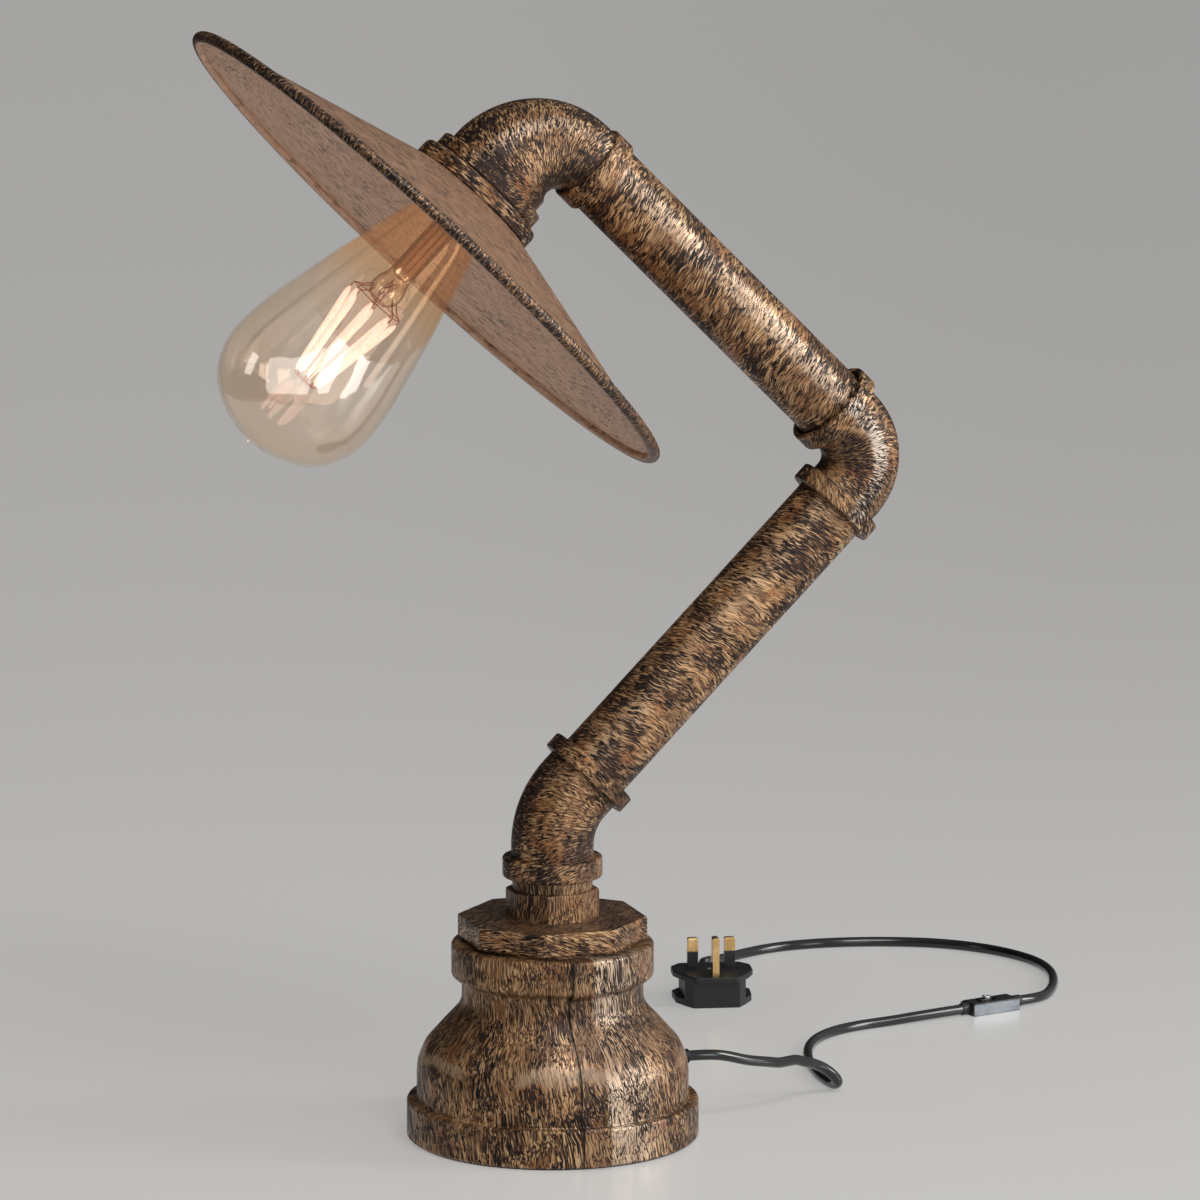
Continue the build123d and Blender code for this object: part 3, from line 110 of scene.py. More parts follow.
def cord_curve(name, points):
    cu = bpy.data.curves.new(name, "CURVE")
    cu.dimensions = "3D"
    sp = cu.splines.new("NURBS")
    sp.points.add(len(points) - 1)
    for p, q in zip(sp.points, points):
        p.co = (q[0], q[1], q[2], 1.0)
        p.radius = CORD_R
    sp.order_u = 3
    sp.use_endpoint_u = True
    sp.resolution_u = 14
    cu.bevel_depth = 1.0
    cu.bevel_resolution = 7
    cu.use_fill_caps = True
    ob = bpy.data.objects.new(name, cu)
    scene.collection.objects.link(ob)
    return ob


cord_a = cord_curve("cord_to_switch", ROUTE_BASE)
cord_b = cord_curve("cord_to_plug", ROUTE_PLUG)
for ob, node in ((cord_a, "cord_base_run"), (cord_b, "cord_plug_run")):
    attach(ob, "base")
    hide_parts(node)

# ---------------------------------------------------------------------------
# node tools
# ---------------------------------------------------------------------------


def srgb(r, g, b):
    def lin(c):
        c /= 255.0
        return c / 12.92 if c <= 0.04045 else ((c + 0.055) / 1.055) ** 2.4
    return (lin(r), lin(g), lin(b), 1.0)


class Mat:
    """a material whose nodes are wired with short calls"""

    def __init__(self, name):
        self.m = bpy.data.materials.new(name)
        self.m.use_nodes = True
        self.t = self.m.node_tree
        self.t.nodes.clear()
        self.out = self.t.nodes.new("ShaderNodeOutputMaterial")
        self.b = self.t.nodes.new("ShaderNodeBsdfPrincipled")
        self.t.links.new(self.b.outputs[0], self.out.inputs["Surface"])
        self.pos = self.t.nodes.new("ShaderNodeTexCoord").outputs["Object"]

    def put(self, value, socket):
        if hasattr(value, "is_output"):
            self.t.links.new(value, socket)
        elif isinstance(value, (tuple, list, Vector)):
            v = tuple(value)
            n = len(socket.default_value)
            socket.default_value = v[:n] if len(v) >= n else v + (1.0,) * (n - len(v))
        else:
            socket.default_value = value

    def set(self, **kw):
        for k, v in kw.items():
            self.put(v, self.b.inputs[k.replace("_", " ")])

    def math(self, op, a, b=0.0, c=0.0, clamp=False):
        n = self.t.nodes.new("ShaderNodeMath")
        n.operation = op
        n.use_clamp = clamp
        for v, s in zip((a, b, c), n.inputs):
            self.put(v, s)
        return n.outputs[0]

    def vec(self, op, a, b=(0, 0, 0), scale=None):
        n = self.t.nodes.new("ShaderNodeVectorMath")
        n.operation = op
        self.put(a, n.inputs[0])
        if op != "SCALE":
            self.put(b, n.inputs[1])
        if scale is not None:
            self.put(scale, n.inputs["Scale"])
        return n.outputs["Value"] if op in ("DOT_PRODUCT", "LENGTH", "DISTANCE") else n.outputs["Vector"]

    def xyz(self, x, y, z):
        n = self.t.nodes.new("ShaderNodeCombineXYZ")
        for v, s in zip((x, y, z), n.inputs):
            self.put(v, s)
        return n.outputs[0]

    def split(self, v):
        n = self.t.nodes.new("ShaderNodeSeparateXYZ")
        self.put(v, n.inputs[0])
        return n.outputs[0], n.outputs[1], n.outputs[2]

    def noise(self, v, scale, detail=2.0, rough=0.5, dist=0.0, colour=False):
        n = self.t.nodes.new("ShaderNodeTexNoise")
        n.noise_dimensions = "3D"
        self.put(v, n.inputs["Vector"])
        n.inputs["Scale"].default_value = scale
        n.inputs["Detail"].default_value = detail
        n.inputs["Roughness"].default_value = rough
        n.inputs["Distortion"].default_value = dist
        return n.outputs["Color" if colour else "Fac"]

    def voronoi(self, v, scale, feature="F1", rand=1.0, out="Distance"):
        n = self.t.nodes.new("ShaderNodeTexVoronoi")
        n.feature = feature
        self.put(v, n.inputs["Vector"])
        n.inputs["Scale"].default_value = scale
        n.inputs["Randomness"].default_value = rand
        return n.outputs[out]

    def ramp(self, x, lo, hi, a=0.0, b=1.0, smooth=True):
        n = self.t.nodes.new("ShaderNodeMapRange")
        n.interpolation_type = "SMOOTHSTEP" if smooth else "LINEAR"
        for v, s in zip((x, lo, hi, a, b), (0, 1, 2, 3, 4)):
            self.put(v, n.inputs[s])
        return n.outputs[0]

    def mix(self, f, a, b, blend="MIX"):
        n = self.t.nodes.new("ShaderNodeMix")
        n.data_type = "RGBA"
        n.blend_type = blend
        n.clamp_factor = True
        self.put(f, n.inputs[0])
        self.put(a, n.inputs[6])
        self.put(b, n.inputs[7])
        return n.outputs[2]

    def mixf(self, f, a, b):
        n = self.t.nodes.new("ShaderNodeMix")
        n.data_type = "FLOAT"
        n.clamp_factor = True
        self.put(f, n.inputs[0])
        self.put(a, n.inputs[2])
        self.put(b, n.inputs[3])
        return n.outputs[0]

    def bump(self, height, strength, distance, normal=None):
        n = self.t.nodes.new("ShaderNodeBump")
        n.inputs["Strength"].default_value = strength
        n.inputs["Distance"].default_value = distance
        self.put(height, n.inputs["Height"])
        if normal is not None:
            self.put(normal, n.inputs["Normal"])
        return n.outputs[0]

    def bevel(self, radius, samples=4):
        n = self.t.nodes.new("ShaderNodeBevel")
        n.samples = samples
        n.inputs["Radius"].default_value = radius
        return n.outputs[0]

    def normal(self):
        return self.t.nodes.new("ShaderNodeNewGeometry").outputs["Normal"]

    def onormal(self):
        # in the object's own space, so a mask stays put when a body is posed
        return self.t.nodes.new("ShaderNodeTexCoord").outputs["Normal"]

    # local coordinates of a turned or bent piece -------------------------
    def axial(self, origin, d, u, v):
        """(along d, u, v) seen from origin"""
        p = self.vec("SUBTRACT", self.pos, tuple(origin))
        return (self.vec("DOT_PRODUCT", p, tuple(d)), self.vec("DOT_PRODUCT", p, tuple(u)),
                self.vec("DOT_PRODUCT", p, tuple(v)))

    def torus(self, centre, start, along, radius):
        """a bend in the plane of start and along: (arc length, y, distance outwards)"""
        p = self.vec("SUBTRACT", self.pos, tuple(centre))
        a = self.vec("DOT_PRODUCT", p, tuple(start))
        b = self.vec("DOT_PRODUCT", p, tuple(along))
        ang = self.math("ARCTAN2", b, a)
        rho = self.math("SQRT", self.math("ADD", self.math("MULTIPLY", a, a), self.math("MULTIPLY", b, b)))
        return self.math("MULTIPLY", ang, radius), self.split(p)[1], rho


def wear(mt, radius, lo=0.03, hi=0.25):
    """0 on flat places, 1 on sharp edges"""
    bev = mt.bevel(radius)
    d = mt.vec("DOT_PRODUCT", bev, mt.normal())
    return mt.ramp(mt.math("SUBTRACT", 1.0, d), lo, hi), bev


TAN = srgb(164, 119, 74)
TAN_LIGHT = srgb(208, 172, 128)
TAN_DEEP = srgb(100, 67, 40)
RUST = srgb(142, 86, 42)
BROWN = srgb(54, 38, 30)
DARK = srgb(17, 13, 14)


def paint(mt, p, fleck, dark, edge, cluster_scale=55.0, painted_sheen=None, deep=None, line=1.0, painted_highlight=None, patch=1.0,
          where=None, strength=0.42, painted_crease_shade=None, pale=srgb(208, 184, 158)):
    """antique bronze paint from stroke coordinates p: x is the fast way, across the strokes.
    Thin wrinkle lines follow the level line of one noise, short dabs the high places of another."""
    n0 = mt.noise(p, fleck * 0.62, 1.6, 0.5, 0.05)
    n1 = mt.noise(mt.vec("ADD", p, (0.9, 0.2, 0.6)), fleck * 1.15, 2.0, 0.55, 0.05)
    n2 = mt.noise(mt.vec("ADD", p, (0.7, 0.3, 0.9)), fleck * 0.68, 3.0, 0.6, 0.08)
    cluster = mt.noise(mt.vec("ADD", mt.pos if where is None else where, (0.4, 0.9, 0.2)), cluster_scale, 3.0, 0.62)
    cl = mt.ramp(cluster, 0.38, 0.63)
    width = mt.mixf(cl, (0.031 - 0.017 * patch) * line, (0.031 + 0.018 * patch) * line)
    thr = mt.mixf(cl, dark + 0.036 + 0.066 * patch, dark + 0.036 - 0.066 * patch)
    # painted highlight band: fewer and thinner dark strokes where it lies
    if painted_sheen is not None:
        thr = mt.math("ADD", thr, mt.math("MULTIPLY", painted_sheen, 0.16))
        width = mt.math("MULTIPLY", width, mt.mixf(painted_sheen, 1.0, 0.25))
    ridge = mt.math("ABSOLUTE", mt.math("SUBTRACT", n0, 0.5))
    mask0 = mt.ramp(mt.math("SUBTRACT", ridge, width), 0.014, -0.004)
    mask1 = mt.ramp(mt.math("SUBTRACT", n1, thr), -0.006, 0.030)
    mask2 = mt.ramp(mt.math("SUBTRACT", n2, mt.math("ADD", thr, 0.045)), -0.006, 0.035)
    mask = mt.math("MAXIMUM", mt.math("MAXIMUM", mt.math("MULTIPLY", mask0, 0.9), mask1), mask2)
    tone = mt.noise(mt.vec("ADD", p, (5.0, 2.0, 1.0)), fleck * 0.45, 3.0, 0.65)
    big = mt.noise(mt.vec("ADD", mt.pos, (1.3, 0.1, 0.8)), 34.0, 2.0, 0.5)
    rust = mt.noise(mt.vec("ADD", mt.pos, (2.3, 1.1, 0.3)), 60.0, 3.0, 0.6)
    col = mt.mix(mt.ramp(tone, 0.38, 0.62), TAN_DEEP, TAN)
    col = mt.mix(mt.ramp(ridge, 0.06, 0.15, 0.0, 0.75), col, TAN_LIGHT)
    col = mt.mix(mt.ramp(rust, 0.50, 0.68, 0.0, 0.7), col, RUST)
    col = mt.mix(mt.ramp(big, 0.44, 0.68, 0.0, 0.5), col, TAN_DEEP)
    # painted highlight band: the colour is drawn pale grey-beige
    if painted_sheen is not None:
        col = mt.mix(mt.math("MULTIPLY", painted_sheen, 0.6), col, srgb(172, 150, 126))
    if deep is not None:
        col = mt.mix(deep, col, srgb(84, 60, 44))
    # painted highlight: the colour is drawn pale where this mask lies
    if painted_highlight is not None:
        col = mt.mix(mt.math("MULTIPLY", painted_highlight, 0.75), col, pale)
    col = mt.mix(mask, col, mt.mix(mt.ramp(n1, 0.50, 0.60), BROWN, DARK))
    # painted shade: dark lines along the creases where this mask lies
    if painted_crease_shade is not None:
        col = mt.mix(painted_crease_shade, col, srgb(34, 25, 21))
    ed, bev = wear(mt, edge)
    edge_break = mt.ramp(mt.noise(mt.pos, 260.0, 2.0, 0.6), 0.34, 0.6)
    col = mt.mix(mt.math("MULTIPLY", ed, mt.math("MULTIPLY", edge_break, 0.6)), col, TAN_LIGHT)
    rough = mt.mixf(mask, mt.ramp(tone, 0.35, 0.65, 0.44, 0.34), 0.55)
    h = mt.math("SUBTRACT", mt.math("MULTIPLY", mt.ramp(ridge, 0.0, 0.12), 0.5), mt.math("MULTIPLY", mask, 0.6))
    metal_part = mt.mixf(mask, 0.34, 0.45)
    coat = mt.mixf(mask, 0.42, 0.08)
    # the painted highlight is also given more coat
    if painted_highlight is not None:
        coat = mt.math("ADD", coat, mt.math("MULTIPLY", painted_highlight, mt.mixf(mask, 0.3, 0.05)))
    mt.set(Base_Color=col, Roughness=rough, Metallic=metal_part, Coat_Weight=coat, Normal=mt.bump(h, strength, 0.00022, bev))
    mt.set(Coat_Roughness=0.36, Specular_IOR_Level=0.3)
    return mt.m


def bronze(name, along, u, v, slow=0.11, fleck=1150.0, dark=0.5, tilt=0.25, edge=0.00035, line=1.0, patch=1.0,
           bands=False, wave=1.0, strength=0.42, painted_highlight=None, pale=srgb(208, 184, 158)):
    """strokes that run round the piece. along: the way they repeat, u and v: the plane in which they run"""
    mt = Mat(name)
    a, b, c = along(mt), u(mt), v(mt)
    wob = mt.noise(mt.pos, 42.0, 2.0, 0.5)
    wob2 = mt.noise(mt.vec("ADD", mt.pos, (3.1, 1.7, 0.4)), 150.0, 1.0, 0.5)
    a2 = mt.math("ADD", a, mt.math("MULTIPLY", mt.math("ADD", b, c), tilt))
    a2 = mt.math("ADD", a2, mt.math("MULTIPLY", mt.math("SUBTRACT", wob, 0.5), 0.008 * wave))
    a2 = mt.math("ADD", a2, mt.math("MULTIPLY", mt.math("SUBTRACT", wob2, 0.5), 0.0024 * wave))
    # on a bend the dark patches are drawn out along it
    where = mt.xyz(mt.math("MULTIPLY", a, 0.35), b, c) if bands else None
    p = mt.xyz(a2, mt.math("MULTIPLY", b, slow), mt.math("MULTIPLY", c, slow))
    return paint(mt, p, fleck, dark, edge, line=line, patch=patch, where=where, strength=strength,
                 painted_highlight=painted_highlight(mt) if painted_highlight else None, pale=pale)


def cyl(origin, d):
    """three coordinate makers for a piece turned about d"""
    d = Vector(d).normalized()
    u = Y.copy() if abs(d.dot(Y)) < 0.9 else Vector((1, 0, 0))
    v = d.cross(u).normalized()
    return (lambda mt: mt.axial(origin, d, u, v)[0], lambda mt: mt.axial(origin, d, u, v)[1],
            lambda mt: mt.axial(origin, d, u, v)[2])


def around(origin, d, ref):
    """coordinate makers for strokes that run along d on a piece turned about d: fast round it, slow along it"""
    d = Vector(d).normalized()
    u = Y.copy() if abs(d.dot(Y)) < 0.9 else Vector((1, 0, 0))
    v = d.cross(u).normalized()

    def parts(mt):
        s, a, b = mt.axial(origin, d, u, v)
        r = mt.math("SQRT", mt.math("ADD", mt.math("MULTIPLY", a, a), mt.math("MULTIPLY", b, b)))
        return s, mt.math("MULTIPLY", mt.math("DIVIDE", a, r), ref), mt.math("MULTIPLY", mt.math("DIVIDE", b, r), ref), r
    return parts


def side_highlight_band(d, angle, half=0.5, gain=0.6):
    """painted highlight: a pale, glossier band along the side of a straight or bent piece: angle is measured round d
    from Y
    """
    d = Vector(d).normalized()
    u = Y.copy()
    v = d.cross(u).normalized()
    w = (u * math.cos(math.radians(angle)) + v * math.sin(math.radians(angle))).normalized()

    def make(mt):
        nz = mt.noise(mt.vec("ADD", mt.pos, (0.6, 0.3, 0.2)), 60.0, 3.0, 0.6)
        f = mt.ramp(mt.vec("DOT_PRODUCT", mt.onormal(), tuple(w)), math.cos(half), math.cos(half * 0.25))
        return mt.math("MULTIPLY", f, mt.ramp(nz, 0.30, 0.60, gain * 0.45, gain))
    return make


def bend_highlight_band(centre, start, along, angle, half=0.34, gain=0.7):
    """painted highlight: a pale line that follows a bend, angle degrees outwards of its flank"""
    def make(mt):
        p = mt.vec("SUBTRACT", mt.pos, tuple(centre))
        rad = mt.vec("NORMALIZE", mt.vec("MULTIPLY", p, (1.0, 0.0, 1.0)))
        n = mt.onormal()
        f = mt.math("ADD", mt.math("MULTIPLY", mt.math("ABSOLUTE", mt.split(n)[1]), math.cos(math.radians(angle))),
                    mt.math("MULTIPLY", mt.vec("DOT_PRODUCT", n, rad), math.sin(math.radians(angle))))
        nz = mt.noise(mt.vec("ADD", mt.pos, (0.6, 0.3, 0.2)), 60.0, 3.0, 0.6)
        return mt.math("MULTIPLY", mt.ramp(f, math.cos(half), math.cos(half * 0.25)), mt.ramp(nz, 0.30, 0.60, gain * 0.5, gain))
    return make


def give(node, mat):
    me = nodes[node].data
    me.materials.clear()
    me.materials.append(mat)


def bronze_round(name, origin, d, ref, fleck=900.0, slow=0.20, dark=0.5, edge=0.00035, tilt=0.0, deep=0.0,
                 rib=None, painted_sheen=None, painted_highlight=None, line=1.0, patch=1.0, strength=0.42, shade=None, painted_crease_shade=None):
    """bronze paint brushed up and down a turned piece"""
    mt = Mat(name)
    s, a, b, r = around(origin, d, ref)(mt)
    wob = mt.noise(mt.pos, 34.0, 2.0, 0.5, colour=True)
    wv = mt.vec("SCALE", mt.vec("SUBTRACT", wob, (0.5, 0.5, 0.5)), scale=0.010)
    p = mt.vec("ADD", mt.xyz(a, b, mt.math("MULTIPLY", mt.math("SUBTRACT", s, mt.math("MULTIPLY", r, 0.8)), slow)), wv)
    if tilt:
        k = mt.math("MULTIPLY", s, tilt)
        p = mt.vec("ADD", p, mt.xyz(mt.math("MULTIPLY", mt.math("MULTIPLY", b, k), -1.0), mt.math("MULTIPLY", a, k), 0.0))
    if rib is not None:
        # the raised rib carries strokes of its own
        p = mt.vec("ADD", p, mt.vec("SCALE", (0.31, 0.17, 0.05), scale=rib(mt)))
    dp = None
    if deep:
        flat = mt.ramp(mt.math("ABSOLUTE", mt.vec("DOT_PRODUCT", mt.onormal(), tuple(Vector(d).normalized()))), 0.8, 0.95)
        dp = mt.math("MULTIPLY", flat, deep)
    if shade is not None:
        dp = shade(mt)
    return paint(mt, p, fleck, dark, edge, 46.0, painted_sheen(mt) if painted_sheen else None, dp, line, painted_highlight(mt) if painted_highlight else None,
                 patch, strength=strength, painted_crease_shade=painted_crease_shade(mt) if painted_crease_shade else None)


def octagon_material():
    """strokes slanting round the sides, and straight across the top"""
    mt = Mat("bronze_octagon")
    x, y, z = mt.split(mt.pos)
    flat = mt.ramp(mt.math("ABSOLUTE", mt.split(mt.onormal())[2]), 0.8, 0.95)
    wob = mt.math("MULTIPLY", mt.math("SUBTRACT", mt.noise(mt.pos, 45.0, 2.0, 0.5), 0.5), 0.008)
    zz = mt.math("ADD", mt.math("ADD", z, mt.math("MULTIPLY", mt.math("ADD", x, y), 0.42)), wob)
    p_side = mt.xyz(zz, mt.math("MULTIPLY", x, 0.16), mt.math("MULTIPLY", y, 0.16))
    u = mt.vec("DOT_PRODUCT", mt.pos, (0.80, 0.60, 0.0))
    v = mt.vec("DOT_PRODUCT", mt.pos, (-0.60, 0.80, 0.0))
    p_top = mt.xyz(mt.math("ADD", v, wob), mt.math("MULTIPLY", u, 0.14), 0.4)
    n = mt.t.nodes.new("ShaderNodeMix")
    n.data_type = "VECTOR"
    mt.put(flat, n.inputs[0])
    mt.put(p_side, n.inputs[4])
    mt.put(p_top, n.inputs[5])
    return paint(mt, n.outputs[1], 1150.0, 0.525, 0.0005, deep=mt.math("MULTIPLY", flat, 0.72), patch=0.8, strength=0.25)


def foot_rib(mt):
    x, y, z = mt.split(mt.pos)
    half = mt.math("SUBTRACT", 0.00814, mt.math("MULTIPLY", z, 0.0212))
    on = mt.math("LESS_THAN", mt.math("ABSOLUTE", x), mt.math("ADD", half, 0.00005))
    return mt.math("MULTIPLY", on, mt.math("GREATER_THAN", mt.math("ABSOLUTE", y), 0.04))


def foot_shade(mt):
    """the ribs are a shade darker than the bell"""
    return mt.math("MULTIPLY", foot_rib(mt), 0.38)


def foot_painted_crease_shade(mt):
    """painted shade along the crease at the flanks of each rib, heavier on one side"""
    x, y, z = mt.split(mt.pos)
    half = mt.math("SUBTRACT", 0.00834, mt.math("MULTIPLY", z, 0.0212))
    sx = mt.math("MULTIPLY", mt.math("MULTIPLY", x, mt.math("SIGN", y)), -1.0)
    front = mt.math("GREATER_THAN", mt.math("ABSOLUTE", y), 0.04)
    a = mt.ramp(mt.math("ABSOLUTE", mt.math("ADD", sx, mt.math("ADD", half, 0.0002))), 0.0008, 0.0004)
    b = mt.ramp(mt.math("ABSOLUTE", mt.math("SUBTRACT", sx, half)), 0.0005, 0.0002)
    broken = mt.ramp(mt.noise(mt.pos, 210.0, 2.0, 0.6), 0.36, 0.52, 0.45, 1.0)
    return mt.math("MULTIPLY", mt.math("MULTIPLY", mt.math("MAXIMUM", mt.math("MULTIPLY", a, 0.85), mt.math("MULTIPLY", b, 0.6)),
                                       broken), front)


# painted highlight: a pale band round the bell's shoulder, about 44 to 54 mm up, broken by noise
def foot_painted_sheen(mt):
    x, y, z = mt.split(mt.pos)
    n = mt.noise(mt.vec("ADD", mt.pos, (0.5, 0.1, 0.7)), 26.0, 2.0, 0.5)
    band = mt.math("ABSOLUTE", mt.math("SUBTRACT", z, mt.ramp(n, 0.3, 0.7, 0.044, 0.054)))
    return mt.math("MULTIPLY", mt.ramp(band, 0.0062, 0.0012), mt.ramp(n, 0.40, 0.56))


def foot_painted_highlight(mt):
    """painted highlight: the bell is drawn paler and glossier on the side right of the front rib, and left of the rear
    one, fading away from the rib
    """
    x, y, z = mt.split(mt.pos)
    half = mt.math("SUBTRACT", 0.00834, mt.math("MULTIPLY", z, 0.0212))
    front = mt.math("SIGN", y)
    sx = mt.math("MULTIPLY", mt.math("MULTIPLY", x, front), -1.0)
    past = mt.math("GREATER_THAN", sx, half)
    fade = mt.ramp(sx, 0.050, 0.012)
    n = mt.noise(mt.vec("ADD", mt.pos, (0.2, 0.6, 0.1)), 38.0, 2.0, 0.55)
    low = mt.mixf(mt.ramp(mt.math("ABSOLUTE", mt.math("SUBTRACT", z, 0.062)), 0.008, 0.022), 0.45, 1.0)
    return mt.math("MULTIPLY", mt.math("MULTIPLY", past, fade), mt.math("MULTIPLY", low, mt.ramp(n, 0.30, 0.58, 0.6, 1.15)))


# ---------------------------------------------------------------------------
# bronze pieces
# ---------------------------------------------------------------------------
# the foot carries a painted highlight band round its shoulder, a painted highlight beside the ribs and painted shade
# in the rib creases
give("base_casting", bronze_round("bronze_foot", (0, 0, 0), Z, 0.075, fleck=1020.0, slow=0.16, dark=0.50, tilt=2.2,
                                  rib=foot_rib, painted_sheen=foot_painted_sheen, painted_highlight=foot_painted_highlight, patch=0.75, shade=foot_shade,
                                  painted_crease_shade=foot_painted_crease_shade))
give("reducing_bushing", octagon_material())
give("top_bushing", bronze_round("bronze_small_octagon", (0, 0, 0), Z, 0.0275, fleck=1500.0, slow=0.07, dark=0.505,
                                 patch=0.5, strength=0.22))
give("base_nipple", bronze_round("bronze_nipple", (0, 0, 0), Z, 0.0224, fleck=1500.0, slow=0.07, dark=0.505,
                                 patch=0.5, strength=0.25))

def bend(centre, start, along, radius):
    return (lambda mt: mt.torus(centre, start, along, radius)[0], lambda mt: mt.torus(centre, start, along, radius)[1],
            lambda mt: mt.torus(centre, start, along, radius)[2])


# the lower elbow bends by 45 degrees from +Z to D1 about a centre on the +X side
R1 = 0.04375
t1 = R1 * math.tan(math.radians(22.5))
c1 = Vector((R1, 0, E1.z - t1))
give("lower_elbow", bronze("bronze_lower_elbow", *bend(c1, (-1, 0, 0), (0, 0, 1), R1), slow=0.15, fleck=1650.0, dark=0.457, tilt=0.16, bands=True, wave=0.7, strength=0.3))
R2 = 0.02716
c2 = E2 - D1 * R2 + D2 * R2
# painted highlight along the bend of the middle and head elbows
give("middle_elbow", bronze("bronze_middle_elbow", *bend(c2, tuple(-D2), tuple(D1), R2), slow=0.15, fleck=1650.0, dark=0.470, tilt=0.10, bands=True, wave=0.7, strength=0.3,
                             painted_highlight=bend_highlight_band(c2, tuple(-D2), tuple(D1), 13.0, 0.27, 1.0),
                             pale=srgb(206, 194, 180)))
R3 = 0.0339
c3 = E3 - D2 * R3 + D3 * R3
give("head_elbow", bronze("bronze_head_elbow", *bend(c3, tuple(-D3), tuple(D2), R3), slow=0.15, fleck=1750.0, dark=0.430, tilt=0.12, bands=True, wave=0.7, strength=0.3,
                           painted_highlight=bend_highlight_band(c3, tuple(-D3), tuple(D2), 36.0, 0.26, 0.5)))
# painted highlight band along one side of each pipe
give("lower_pipe", bronze("bronze_lower_pipe", *cyl(E1, D1), slow=0.12, fleck=1250.0, dark=0.492, tilt=0.22,
                           painted_highlight=side_highlight_band(D1, 147.0, 0.38, 0.50), pale=srgb(214, 178, 138)))
give("upper_pipe", bronze("bronze_upper_pipe", *cyl(E2, D2), slow=0.13, fleck=1200.0, dark=0.500, tilt=0.25,
                           painted_highlight=side_highlight_band(D2, 198.0, 0.40, 0.62)))
give("swivel_ring", bronze("bronze_ring", *cyl(E2, D2), slow=0.15, fleck=1500.0, dark=0.50, tilt=0.3))


def collar_material():
    mt = Mat("bronze_collar")
    s, a, b, r = around(E3, D3, 0.036)(mt)
    p = mt.xyz(mt.math("ADD", s, r), mt.math("MULTIPLY", a, 0.16), mt.math("MULTIPLY", b, 0.16))
    return paint(mt, p, 1100.0, 0.49, 0.0006, line=1.2)


give("shade_collar", collar_material())


